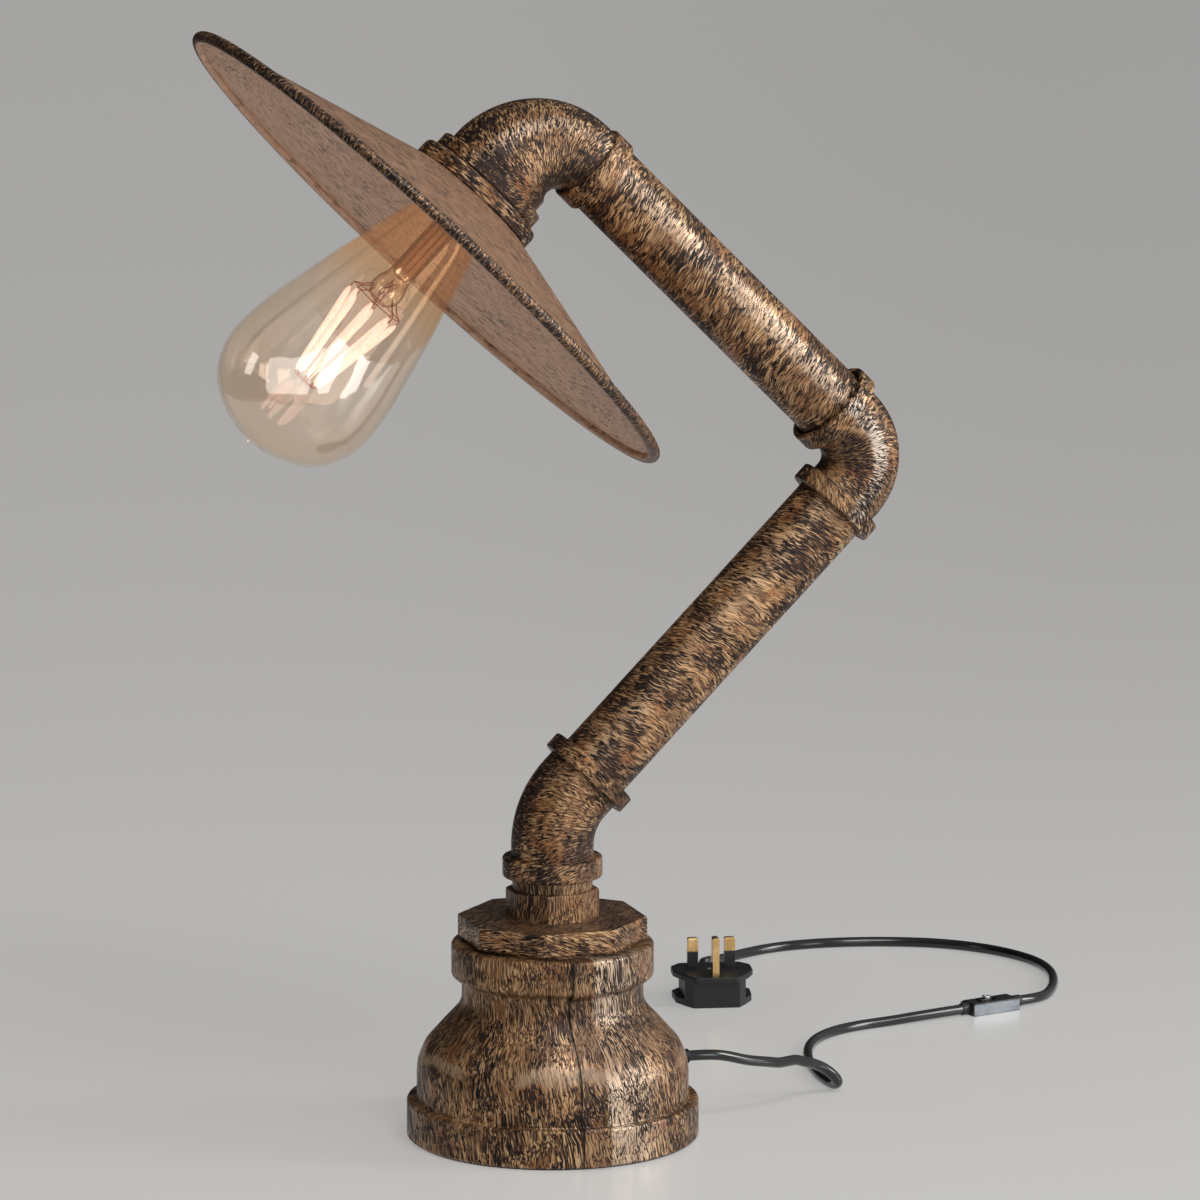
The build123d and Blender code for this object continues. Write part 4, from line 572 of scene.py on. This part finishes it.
def shade_material():
    mt = Mat("bronze_shade")
    s, a, b, r = around(E3, D3, 1.0)(mt)
    inner = mt.ramp(mt.vec("DOT_PRODUCT", mt.onormal(), tuple(D3)), -0.1, 0.1)
    # fine grain parallel to the rim
    p = mt.xyz(mt.math("MULTIPLY", a, 0.022), mt.math("MULTIPLY", b, 0.022), r)
    g1 = mt.noise(p, 640.0, 4.0, 0.66, 0.1)
    g2 = mt.noise(mt.vec("ADD", p, (0.3, 0.6, 0.1)), 1000.0, 2.0, 0.6)
    soft = mt.noise(mt.pos, 22.0, 3.0, 0.55)
    # lit and shaded copies of one paint: the outside drawn darker as painted shade, the inside lighter as painted
    # light from the bulb
    col = mt.mix(mt.ramp(g1, 0.36, 0.62), srgb(112, 82, 63), srgb(166, 130, 103))
    col = mt.mix(mt.ramp(soft, 0.4, 0.65, 0.0, 0.45), col, srgb(150, 115, 90))
    col_in = mt.mix(mt.ramp(g1, 0.36, 0.62), srgb(186, 145, 118), srgb(226, 186, 158))
    col_in = mt.mix(mt.ramp(soft, 0.4, 0.65, 0.0, 0.5), col_in, srgb(212, 168, 138))
    col = mt.mix(inner, col, col_in)
    off_bead = mt.ramp(r, 0.1656, 0.1650, smooth=False)
    # fine broken grain lines that follow the rim
    pg = mt.vec("ADD", mt.xyz(mt.math("MULTIPLY", a, 0.016), mt.math("MULTIPLY", b, 0.016), r), (0.5, 0.2, 0.8))
    gap = mt.ramp(mt.noise(mt.vec("ADD", mt.pos, (0.8, 0.5, 0.1)), 60.0, 3.0, 0.65), 0.36, 0.60)
    gn = mt.noise(pg, 820.0, 2.0, 0.6)
    grain = mt.ramp(mt.math("SUBTRACT", gn, mt.mixf(gap, 0.62, 0.54)), 0.0, 0.03)
    grain = mt.math("MULTIPLY", grain, off_bead)
    col = mt.mix(mt.math("MULTIPLY", grain, mt.mixf(inner, 0.85, 0.25)), col, srgb(64, 47, 38))
    # sparse dark dashes, gathered in patches
    cl = mt.ramp(mt.noise(mt.vec("ADD", mt.pos, (0.7, 0.2, 0.3)), 30.0, 3.0, 0.6), 0.42, 0.60)
    pd = mt.xyz(mt.math("MULTIPLY", a, 0.034), mt.math("MULTIPLY", b, 0.034), r)
    d1 = mt.noise(mt.vec("ADD", pd, (0.9, 0.4, 0.2)), 720.0, 2.0, 0.6, 0.2)
    dash = mt.ramp(mt.math("SUBTRACT", d1, mt.mixf(cl, 0.70, 0.585)), -0.003, 0.022)
    dash = mt.math("MULTIPLY", dash, off_bead)
    col = mt.mix(mt.math("MULTIPLY", dash, 0.85), col, srgb(62, 50, 48))
    col = mt.mix(mt.ramp(g2, 0.54, 0.68, 0.0, 0.6), col, srgb(84, 62, 48))
    # rolled rim: fine dark strokes across it
    pb = mt.xyz(mt.math("MULTIPLY", a, 0.1687), mt.math("MULTIPLY", b, 0.1687), mt.math("MULTIPLY", s, 0.28))
    b1 = mt.noise(pb, 1350.0, 2.0, 0.6, 0.1)
    b2 = mt.noise(mt.vec("ADD", mt.pos, (0.2, 0.2, 0.9)), 42.0, 3.0, 0.6)
    bm = mt.ramp(mt.math("SUBTRACT", b1, mt.ramp(b2, 0.34, 0.66, 0.50, 0.42)), -0.02, 0.03)
    bead_col = mt.mix(bm, mt.mix(mt.ramp(b1, 0.30, 0.44), srgb(176, 140, 106), srgb(124, 88, 58)), srgb(28, 21, 18))
    # the side of the bead that faces the lamp is painted like the inside
    ru = mt.math("MULTIPLY", mt.vec("DOT_PRODUCT", mt.onormal(), tuple(Y)), a)
    rv = mt.math("MULTIPLY", mt.vec("DOT_PRODUCT", mt.onormal(), tuple(D3.cross(Y).normalized())), b)
    outward = mt.ramp(mt.math("ADD", ru, rv), -0.45, -0.15)
    on_bead = mt.math("MULTIPLY", mt.ramp(r, 0.16615, 0.16645, smooth=False), outward)
    col = mt.mix(on_bead, col, bead_col)
    h = mt.mixf(on_bead, mt.math("SUBTRACT", mt.math("MULTIPLY", g1, 0.6), mt.math("MULTIPLY", dash, 0.5)),
                mt.math("MULTIPLY", bm, -1.0))
    mt.set(Base_Color=col, Roughness=mt.mixf(on_bead, mt.ramp(g1, 0.3, 0.7, 0.42, 0.52), 0.42),
           Metallic=mt.mixf(on_bead, 0.30, 0.3), Normal=mt.bump(h, 0.35, 0.0002))
    return mt.m


give("shade", shade_material())

# ---------------------------------------------------------------------------
# cord, switch and plug
# ---------------------------------------------------------------------------


def cord_material():
    mt = Mat("cord_pvc")
    n = mt.noise(mt.pos, 900.0, 2.0, 0.5)
    n2 = mt.noise(mt.pos, 60.0, 2.0, 0.5)
    col = mt.mix(mt.ramp(n2, 0.35, 0.65), srgb(9, 9, 10), srgb(17, 17, 18))
    mt.set(Base_Color=col, Roughness=mt.ramp(n2, 0.3, 0.7, 0.14, 0.22), Normal=mt.bump(mt.math("ADD", mt.math("MULTIPLY", n, 0.2), mt.math("MULTIPLY", n2, 6.0)), 0.08, 0.0002))
    mt.set(Coat_Weight=0.22, Coat_Roughness=0.07)
    return mt.m


CORD_MAT = cord_material()
for ob in (cord_a, cord_b):
    ob.data.materials.append(CORD_MAT)
for n in ("inlet_lead", "riser_lead", "lower_lead", "upper_lead", "head_lead"):
    give(n, CORD_MAT)


def plastic(name, colour, colour2, rough=(0.3, 0.45), grain=2600.0, strength=0.12, edge=0.0006, coat=0.0, edge_col=None):
    mt = Mat(name)
    n = mt.noise(mt.pos, grain, 2.0, 0.5)
    n2 = mt.noise(mt.pos, 90.0, 3.0, 0.6)
    col = mt.mix(mt.ramp(n2, 0.35, 0.65), colour, colour2)
    ed, bev = wear(mt, edge)
    if edge_col:
        col = mt.mix(mt.math("MULTIPLY", ed, 0.5), col, edge_col)
    mt.set(Base_Color=col, Roughness=mt.ramp(n2, 0.3, 0.7, rough[0], rough[1]), Normal=mt.bump(n, strength, 0.0002, bev))
    if coat:
        mt.set(Coat_Weight=coat, Coat_Roughness=0.1)
    return mt.m


def metal(name, colour, colour2, rough=(0.2, 0.35), axis=None, grain=900.0, strength=0.12, edge=0.0005, metallic=1.0):
    mt = Mat(name)
    if axis is None:
        p = mt.pos
    else:
        p = mt.vec("SUBTRACT", mt.pos, mt.vec("SCALE", tuple(axis), scale=mt.math("MULTIPLY", mt.vec("DOT_PRODUCT", mt.pos, tuple(axis)), 0.94)))
    n = mt.noise(p, grain, 3.0, 0.6)
    n2 = mt.noise(mt.pos, 70.0, 3.0, 0.6)
    col = mt.mix(mt.ramp(n2, 0.35, 0.65), colour, colour2)
    _, bev = wear(mt, edge)
    mt.set(Base_Color=col, Metallic=metallic, Roughness=mt.ramp(n, 0.3, 0.7, rough[0], rough[1]), Normal=mt.bump(n, strength, 0.0002, bev))
    return mt.m


SW_BLACK = plastic("switch_black", srgb(20, 20, 22), srgb(30, 30, 33), rough=(0.25, 0.4))
for n in ("switch_body", "switch_cover", "switch_slider"):
    give(n, SW_BLACK)
give("switch_sleeves", plastic("sleeve_black", srgb(18, 18, 19), srgb(28, 28, 30), rough=(0.35, 0.5)))
give("switch_side_trim", metal("trim_aluminium", srgb(118, 124, 130), srgb(146, 151, 156), rough=(0.42, 0.55), axis=SW_U, grain=1500.0))
give("switch_knob", metal("knob_metal", srgb(172, 172, 172), srgb(206, 206, 206), rough=(0.12, 0.24)))
PLUG_BLACK = plastic("plug_black", srgb(7, 7, 8), srgb(13, 13, 14), rough=(0.40, 0.52), grain=3400.0, strength=0.2, edge_col=srgb(62, 62, 66))
for n in ("plug_base", "plug_cover", "plug_cord_grip"):
    give(n, PLUG_BLACK)
PIN_BRASS = metal("pin_brass", srgb(206, 168, 112), srgb(226, 192, 138), rough=(0.2, 0.34), axis=Z, grain=1300.0)
for n in ("earth_pin", "line_neutral_pins"):
    give(n, PIN_BRASS)
give("pin_sleeves", plastic("pin_sleeve_black", srgb(24, 25, 30), srgb(34, 35, 42), rough=(0.3, 0.42)))
give("plug_strain_relief", plastic("relief_black", srgb(18, 18, 19), srgb(28, 28, 30), rough=(0.35, 0.5)))

# hidden or nearly hidden pieces
BRASS = metal("contact_brass", srgb(196, 158, 98), srgb(214, 178, 120), rough=(0.25, 0.42))
for n in ("terminal_screws", "earth_tag", "screw_shell", "centre_contact", "switch_contacts", "fuse_clips"):
    give(n, BRASS)
ZINC = metal("screw_zinc", srgb(150, 150, 150), srgb(186, 186, 184), rough=(0.28, 0.42))
for n in ("bottom_screws", "earth_screw", "switch_screws", "plug_screw"):
    give(n, ZINC)
give("ballast_disc", metal("raw_iron", srgb(72, 70, 68), srgb(96, 92, 88), rough=(0.5, 0.7), grain=420.0, strength=0.6, metallic=0.8))
give("bottom_plate", metal("black_steel", srgb(52, 50, 48), srgb(70, 67, 64), rough=(0.35, 0.5), axis=Vector((1, 0, 0)), grain=900.0))
GLAND = metal("gland_steel", srgb(44, 46, 50), srgb(66, 69, 74), rough=(0.28, 0.4))
give("cord_gland", GLAND)
give("gland_nut", GLAND)
CERAMIC = plastic("ceramic", srgb(226, 222, 212), srgb(236, 233, 226), rough=(0.14, 0.24), grain=900.0, strength=0.05, coat=0.4)
for n in ("terminal_block", "lampholder_body"):
    give(n, CERAMIC)
give("fuse", plastic("fuse_body", srgb(205, 196, 178), srgb(220, 212, 196), rough=(0.3, 0.4)))
BAKELITE = plastic("bakelite", srgb(30, 22, 18), srgb(42, 31, 25), rough=(0.22, 0.34), coat=0.3)
for n in ("shade_ring", "bulb_insulator", "bulb_driver"):
    give(n, BAKELITE)
CAP = metal("cap_brass", srgb(196, 160, 112), srgb(214, 182, 136), rough=(0.22, 0.36))
give("bulb_cap", CAP)
give("bulb_contact", CAP)


def cores_material():
    mt = Mat("core_pvc")
    y = mt.split(mt.pos)[1]
    brown_blue = mt.mix(mt.math("GREATER_THAN", y, -0.0009), srgb(104, 58, 32), srgb(36, 74, 150))
    stripe = mt.ramp(mt.math("SINE", mt.math("MULTIPLY", mt.split(mt.pos)[2], 1400.0)), -0.2, 0.2)
    gy = mt.mix(stripe, srgb(214, 200, 40), srgb(38, 132, 52))
    col = mt.mix(mt.math("GREATER_THAN", y, 0.0009), brown_blue, gy)
    mt.set(Base_Color=col, Roughness=mt.ramp(mt.noise(mt.pos, 700.0), 0.3, 0.7, 0.3, 0.42))
    return mt.m


give("foot_cores", cores_material())


def felt_material():
    mt = Mat("felt")
    n = mt.noise(mt.pos, 1800.0, 4.0, 0.7)
    n2 = mt.noise(mt.pos, 320.0, 3.0, 0.6)
    col = mt.mix(mt.ramp(n, 0.35, 0.65), srgb(16, 16, 17), srgb(46, 45, 46))
    mt.set(Base_Color=col, Roughness=mt.ramp(n2, 0.3, 0.7, 0.88, 0.98), Normal=mt.bump(n, 0.8, 0.0004))
    mt.set(Sheen_Weight=0.4, Sheen_Roughness=0.5)
    return mt.m


give("felt_pad", felt_material())

# ---------------------------------------------------------------------------
# bulb
# ---------------------------------------------------------------------------


def clear_glass(name, tint_a, tint_b, base, rim, gloss=(1.0, 0.95, 0.88, 1.0), rough=0.015, edge=(0.3, 1.0),
                neck=None, haze_glow=0.0):
    """thin glass: what is behind it shows through its tint, and the room is mirrored in it"""
    mt = Mat(name)
    t = mt.t
    t.nodes.remove(mt.b)
    tr = t.nodes.new("ShaderNodeBsdfTransparent")
    gl = t.nodes.new("ShaderNodeBsdfGlossy")
    gl.inputs["Roughness"].default_value = rough
    gl.inputs["Color"].default_value = gloss
    mixs = t.nodes.new("ShaderNodeMixShader")
    lw = t.nodes.new("ShaderNodeLayerWeight")
    lw.inputs["Blend"].default_value = 0.25
    n = mt.noise(mt.pos, 30.0, 2.0, 0.5)
    facing = lw.outputs["Facing"]
    tint = mt.mix(mt.ramp(facing, edge[0], edge[1]), tint_a, tint_b)
    tint = mt.mix(mt.ramp(n, 0.3, 0.7, 0.0, 0.12), tint, (0.93, 0.83, 0.72, 1.0))
    # painted reflection: the tint deepens to amber towards the neck, standing in for the shade's inside mirrored in
    # the glass
    if neck is not None:
        along = mt.vec("DOT_PRODUCT", mt.vec("SUBTRACT", mt.pos, tuple(E3)), tuple(D3))
        tint = mt.mix(mt.ramp(along, 0.152, 0.112), tint, neck)
    mt.put(tint, tr.inputs["Color"])
    mt.put(mt.math("ADD", base, mt.math("MULTIPLY", mt.math("POWER", facing, 4.0), rim)), mixs.inputs[0])
    t.links.new(tr.outputs[0], mixs.inputs[1])
    t.links.new(gl.outputs[0], mixs.inputs[2])
    if haze_glow:
        # painted glow: a faint even emission on the glass, standing in for the filament's light scattered by the
        # coating
        em = t.nodes.new("ShaderNodeEmission")
        em.inputs["Color"].default_value = (1.0, 0.82, 0.66, 1.0)
        em.inputs["Strength"].default_value = haze_glow
        add = t.nodes.new("ShaderNodeAddShader")
        t.links.new(mixs.outputs[0], add.inputs[0])
        t.links.new(em.outputs[0], add.inputs[1])
        t.links.new(add.outputs[0], mt.out.inputs["Surface"])
    else:
        t.links.new(mixs.outputs[0], mt.out.inputs["Surface"])
    return mt.m


give("bulb_glass", clear_glass("amber_glass", (0.995, 0.945, 0.895, 1.0), (0.985, 0.955, 0.92, 1.0), 0.10, 0.09,
                               (1.0, 0.98, 0.95, 1.0), neck=(0.99, 0.875, 0.75, 1.0), haze_glow=0.014))


give("bulb_stem", clear_glass("stem_glass", (0.97, 0.93, 0.88, 1.0), (0.42, 0.30, 0.20, 1.0), 0.12, 0.6,
                              (1.0, 0.99, 0.97, 1.0), 0.05, (0.12, 0.62)))


def filament_material():
    mt = Mat("filament")
    n = mt.noise(mt.pos, 700.0, 2.0, 0.6)
    col = mt.mix(mt.ramp(n, 0.35, 0.65), srgb(255, 216, 198), srgb(255, 236, 226))
    mt.set(Base_Color=col, Roughness=mt.ramp(n, 0.3, 0.7, 0.4, 0.5), Emission_Color=col, Emission_Strength=1.0)
    return mt.m


FIL_TOP, FIL_TOP_R = 0.1395, 0.0166
FIL_BOT, FIL_BOT_R = 0.1930, 0.0074
HU = Y.copy()
HV = D3.cross(HU).normalized()


def head_at(angle, radius, s):
    a = math.radians(angle)
    return E3 + D3 * s + HU * (radius * math.cos(a)) + HV * (radius * math.sin(a))


STICKS = [22.5 + 45.0 * k for k in range(8)]


def filament_sticks():
    """eight coated sticks that swell from a pinched tip to a soft round middle"""
    bm = bmesh.new()
    profile = [(0.0, 0.00045), (0.012, 0.0007), (0.03, 0.00115), (0.06, 0.0015), (0.11, 0.00172), (0.2, 0.00182),
               (0.35, 0.00178), (0.5, 0.00184), (0.65, 0.00178), (0.8, 0.00182), (0.89, 0.00170), (0.94, 0.0015),
               (0.97, 0.00115), (0.988, 0.0007), (1.0, 0.00045)]
    for k, ang in enumerate(STICKS):
        a = head_at(ang, FIL_TOP_R, FIL_TOP + 0.0006 * math.sin(2.1 * k))
        b = head_at(ang, FIL_BOT_R, FIL_BOT - 0.0005 * math.cos(1.7 * k))
        d = (b - a).normalized()
        u = d.orthogonal().normalized()
        v = d.cross(u)
        rings = []
        for t, r in profile:
            c = a.lerp(b, t)
            rings.append([bm.verts.new(c + (u * math.cos(w) + v * math.sin(w)) * r)
                          for w in (math.pi / 8 * n for n in range(16))])
        for r0, r1 in zip(rings, rings[1:]):
            for n in range(16):
                bm.faces.new((r0[n], r0[(n + 1) % 16], r1[(n + 1) % 16], r1[n])).smooth = True
        bm.faces.new(rings[0][::-1])
        bm.faces.new(rings[-1])
    bmesh.ops.recalc_face_normals(bm, faces=bm.faces)
    me = bpy.data.meshes.new("filament_sticks")
    bm.to_mesh(me)
    bm.free()
    ob = bpy.data.objects.new("filament_sticks", me)
    scene.collection.objects.link(ob)
    return ob


def wire_tubes():
    """fine wires: spokes from the bead to each stick, hoops that tie their ends, and the feed wires"""
    bm = bmesh.new()

    def tube(points, r, closed=False):
        rings = []
        n = len(points)
        for k, c in enumerate(points):
            if closed:
                d = (points[(k + 1) % n] - points[k - 1]).normalized()
            else:
                d = (points[min(k + 1, n - 1)] - points[max(k - 1, 0)]).normalized()
            u = (D3 - d * D3.dot(d))
            u = u.normalized() if u.length > 0.2 else (Y - d * Y.dot(d)).normalized()
            v = d.cross(u)
            rings.append([bm.verts.new(c + (u * math.cos(w) + v * math.sin(w)) * r)
                          for w in (math.pi / 4 * m for m in range(8))])
        pairs = list(zip(rings, rings[1:])) + ([(rings[-1], rings[0])] if closed else [])
        for r0, r1 in pairs:
            for m in range(8):
                bm.faces.new((r0[m], r0[(m + 1) % 8], r1[(m + 1) % 8], r1[m])).smooth = True
        if not closed:
            bm.faces.new(rings[0][::-1])
            bm.faces.new(rings[-1])

    for k, ang in enumerate(STICKS):
        wig = 1.2 * math.sin(1.9 * k)
        tube([head_at(ang, 0.0092, 0.1305), head_at(ang + 2 + wig, 0.0122, 0.1336), head_at(ang + 1, 0.0150, 0.1352),
              head_at(ang, 0.0166, 0.1362), head_at(ang, 0.0167, 0.1380), head_at(ang, 0.0165, 0.1402)], 0.00034)
        tube([head_at(ang, 0.00745, 0.1926), head_at(ang, 0.0070, 0.1944), head_at(ang, 0.0058, 0.1950)], 0.00034)
    for r, z, n in ((0.0158, 0.1362, 48), (0.0058, 0.1950, 32)):
        tube([head_at(360.0 / n * k, r, z) for k in range(n)], 0.0003, True)
    tube([head_at(10, 0.0012, 0.1362), head_at(40, 0.0009, 0.155), head_at(70, 0.0011, 0.175), head_at(90, 0.0010, 0.1945),
          head_at(90, 0.0056, 0.1950)], 0.00034)
    # two feed wires pressed into the stem, seen through its wall
    for ang in (60.0, 240.0):
        tube([head_at(ang, 0.0026, 0.0760), head_at(ang, 0.0030, 0.095), head_at(ang, 0.0024, 0.1165)], 0.0004)
    # curled ends pressed into the bead
    for k in range(6):
        a0 = 60.0 * k
        tube([head_at(a0 + 24.0 * j, 0.0022 + 0.0011 * math.sin(0.9 * j + k), 0.1225 + 0.0014 * j - 0.0008 * (k % 3))
              for j in range(8)], 0.00026)
    bmesh.ops.recalc_face_normals(bm, faces=bm.faces)
    me = bpy.data.meshes.new("filament_wires")
    bm.to_mesh(me)
    bm.free()
    ob = bpy.data.objects.new("filament_wires", me)
    scene.collection.objects.link(ob)
    return ob


sticks = filament_sticks()
sticks.data.materials.append(filament_material())
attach(sticks, "head")
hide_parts("bulb_filaments")
wires = wire_tubes()
wires.data.materials.append(metal("bulb_wire", srgb(176, 104, 66), srgb(206, 132, 92), rough=(0.25, 0.4)))
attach(wires, "head")
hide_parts("bulb_wires")

# ---------------------------------------------------------------------------
# floor and light
# ---------------------------------------------------------------------------


def stage():
    ang = math.atan2(look.x, look.y)
    fwd = Vector((math.sin(ang), math.cos(ang), 0))
    side = Vector((fwd.y, -fwd.x, 0))
    mt = Mat("floor")
    d = mt.vec("DOT_PRODUCT", mt.pos, tuple(fwd))
    col = mt.mix(mt.ramp(d, -0.3, 4.0, smooth=False), (0.27, 0.268, 0.263, 1), (0.235, 0.233, 0.229, 1))
    glow = mt.mix(mt.ramp(d, -0.2, 1.4, smooth=False), (0.320, 0.316, 0.310, 1), (0.298, 0.294, 0.288, 1))
    glow = mt.mix(mt.ramp(d, 1.4, 5.4, smooth=False), glow, (0.290, 0.286, 0.281, 1))
    across = mt.vec("DOT_PRODUCT", mt.pos, tuple(side))
    mt.set(Base_Color=col, Roughness=0.28, Specular_IOR_Level=0.4,
           Emission_Color=glow, Emission_Strength=mt.ramp(across, -0.35, 0.55, 1.06, 0.95))

    def sheet(name, quads, lights_up):
        bm = bmesh.new()
        for q in quads:
            bm.faces.new([bm.verts.new(fwd * a + side * b + Vector((0, 0, c))) for a, b, c in q]).smooth = True
        bmesh.ops.remove_doubles(bm, verts=bm.verts, dist=1e-5)
        bmesh.ops.recalc_face_normals(bm, faces=bm.faces)
        me = bpy.data.meshes.new(name)
        bm.to_mesh(me)
        bm.free()
        ob = bpy.data.objects.new(name, me)
        scene.collection.objects.link(ob)
        me.materials.append(mt.m)
        if not lights_up:
            ob.visible_diffuse = False
            ob.visible_glossy = False

    h = 1.1
    sheet("floor", [((-h, -h, 0), (h, -h, 0), (h, h, 0), (-h, h, 0))], True)
    w = 14.0
    quads = [((-w, -w, 0), (-h, -w, 0), (-h, w, 0), (-w, w, 0)), ((-h, -w, 0), (h, -w, 0), (h, -h, 0), (-h, -h, 0)),
             ((-h, h, 0), (h, h, 0), (h, w, 0), (-h, w, 0)), ((h, -w, 0), (w, -w, 0), (w, w, 0), (h, w, 0))]
    sheet("ground", quads, False)
    return fwd, side


fwd, side = stage()

world = bpy.data.worlds.new("world")
scene.world = world
world.use_nodes = True
wt = world.node_tree
wt.nodes.clear()
w_out = wt.nodes.new("ShaderNodeOutputWorld")
w_bg = wt.nodes.new("ShaderNodeBackground")
w_tc = wt.nodes.new("ShaderNodeTexCoord")
w_dot = wt.nodes.new("ShaderNodeVectorMath")
w_dot.operation = "DOT_PRODUCT"
w_dir = (side * 0.80 - fwd * 0.35 + Z * 0.45).normalized()
w_dot.inputs[1].default_value = tuple(w_dir)
w_map = wt.nodes.new("ShaderNodeMapRange")
w_map.interpolation_type = "SMOOTHSTEP"
for k, v in zip((1, 2, 3, 4), (-0.35, 0.98, 0.03, 0.62)):
    w_map.inputs[k].default_value = v
wt.links.new(w_tc.outputs["Generated"], w_dot.inputs[0])
wt.links.new(w_dot.outputs["Value"], w_map.inputs[0])
wt.links.new(w_map.outputs[0], w_bg.inputs["Strength"])
w_bg.inputs["Color"].default_value = (1.0, 0.99, 0.98, 1.0)
wt.links.new(w_bg.outputs[0], w_out.inputs["Surface"])


def area(name, at, to, size, power, colour=(1, 1, 1), size_y=None, spread=180):
    li = bpy.data.lights.new(name, "AREA")
    li.shape = "RECTANGLE" if size_y else "SQUARE"
    li.size = size
    if size_y:
        li.size_y = size_y
    li.energy = power
    li.color = colour
    li.spread = math.radians(spread)
    ob = bpy.data.objects.new(name, li)
    scene.collection.objects.link(ob)
    ob.location = at
    ob.rotation_euler = (Vector(to) - Vector(at)).to_track_quat("-Z", "Y").to_euler()
    ob.visible_camera = False
    return ob


mid = Vector((0.05, 0.0, 0.30))
area("window", mid + Vector((0.90, -0.40, 0.28)).normalized() * 2.0, mid - Z * 0.1, 0.6, 24.5, (1.0, 0.99, 0.97), 1.2)
over = area("over", mid + Vector((0.02, -0.56, 0.82)).normalized() * 2.0, mid, 0.75, 18.0, (1.0, 0.99, 0.98), 0.55)
bulb_at = E3 + D3 * 0.185
area("pane_a", bulb_at + Vector((0.17, -0.95, 0.22)).normalized() * 1.5, bulb_at, 0.42, 3.2, (1.0, 1.0, 1.0), 1.1)
area("pane_b", bulb_at + Vector((0.62, -0.77, -0.08)).normalized() * 1.5, bulb_at, 0.34, 2.8, (1.0, 1.0, 1.0), 0.8)
area("pane_c", bulb_at + Vector((-0.92, 0.10, 0.36)).normalized() * 1.5, bulb_at, 0.32, 1.4, (1.0, 1.0, 1.0), 0.6)
# a wide pale card that only the glass mirrors, and the light overhead that it doesn't
card = area("card", mid - fwd * 2.6 - side * 1.0 + Z * 0.9, mid, 3.2, 42.0, (1.0, 0.99, 0.98), 2.4)
glassware = bpy.data.collections.new("glassware")
scene.collection.children.link(glassware)
for name in ("bulb_glass", "bulb_stem"):
    glassware.objects.link(nodes[name])
card.light_linking.receiver_collection = glassware
# two pale screens that draw a streak down each side of the stem
stem_only = bpy.data.collections.new("stem_only")
scene.collection.children.link(stem_only)
stem_only.objects.link(nodes["bulb_stem"])
stem_at = E3 + D3 * 0.112
for name, way in (("screen_l", D2 * 0.85 - Y * 0.5), ("screen_r", D2 * -0.85 - Y * 0.5)):
    area(name, stem_at + way.normalized() * 1.0, stem_at, 0.55, 12.0, (1.0, 1.0, 1.0)).light_linking.receiver_collection = stem_only
unlit = bpy.data.collections.new("unlit_by_over")
scene.collection.children.link(unlit)
unlit.objects.link(nodes["bulb_glass"])
unlit.collection_objects[0].light_linking.link_state = "EXCLUDE"
over.light_linking.receiver_collection = unlit

scene.view_settings.view_transform = "Standard"
scene.view_settings.look = "None"
scene.view_settings.exposure = 0.0
scene.cycles.use_denoising = True
scene.cycles.max_bounces = 12
scene.cycles.transparent_max_bounces = 24
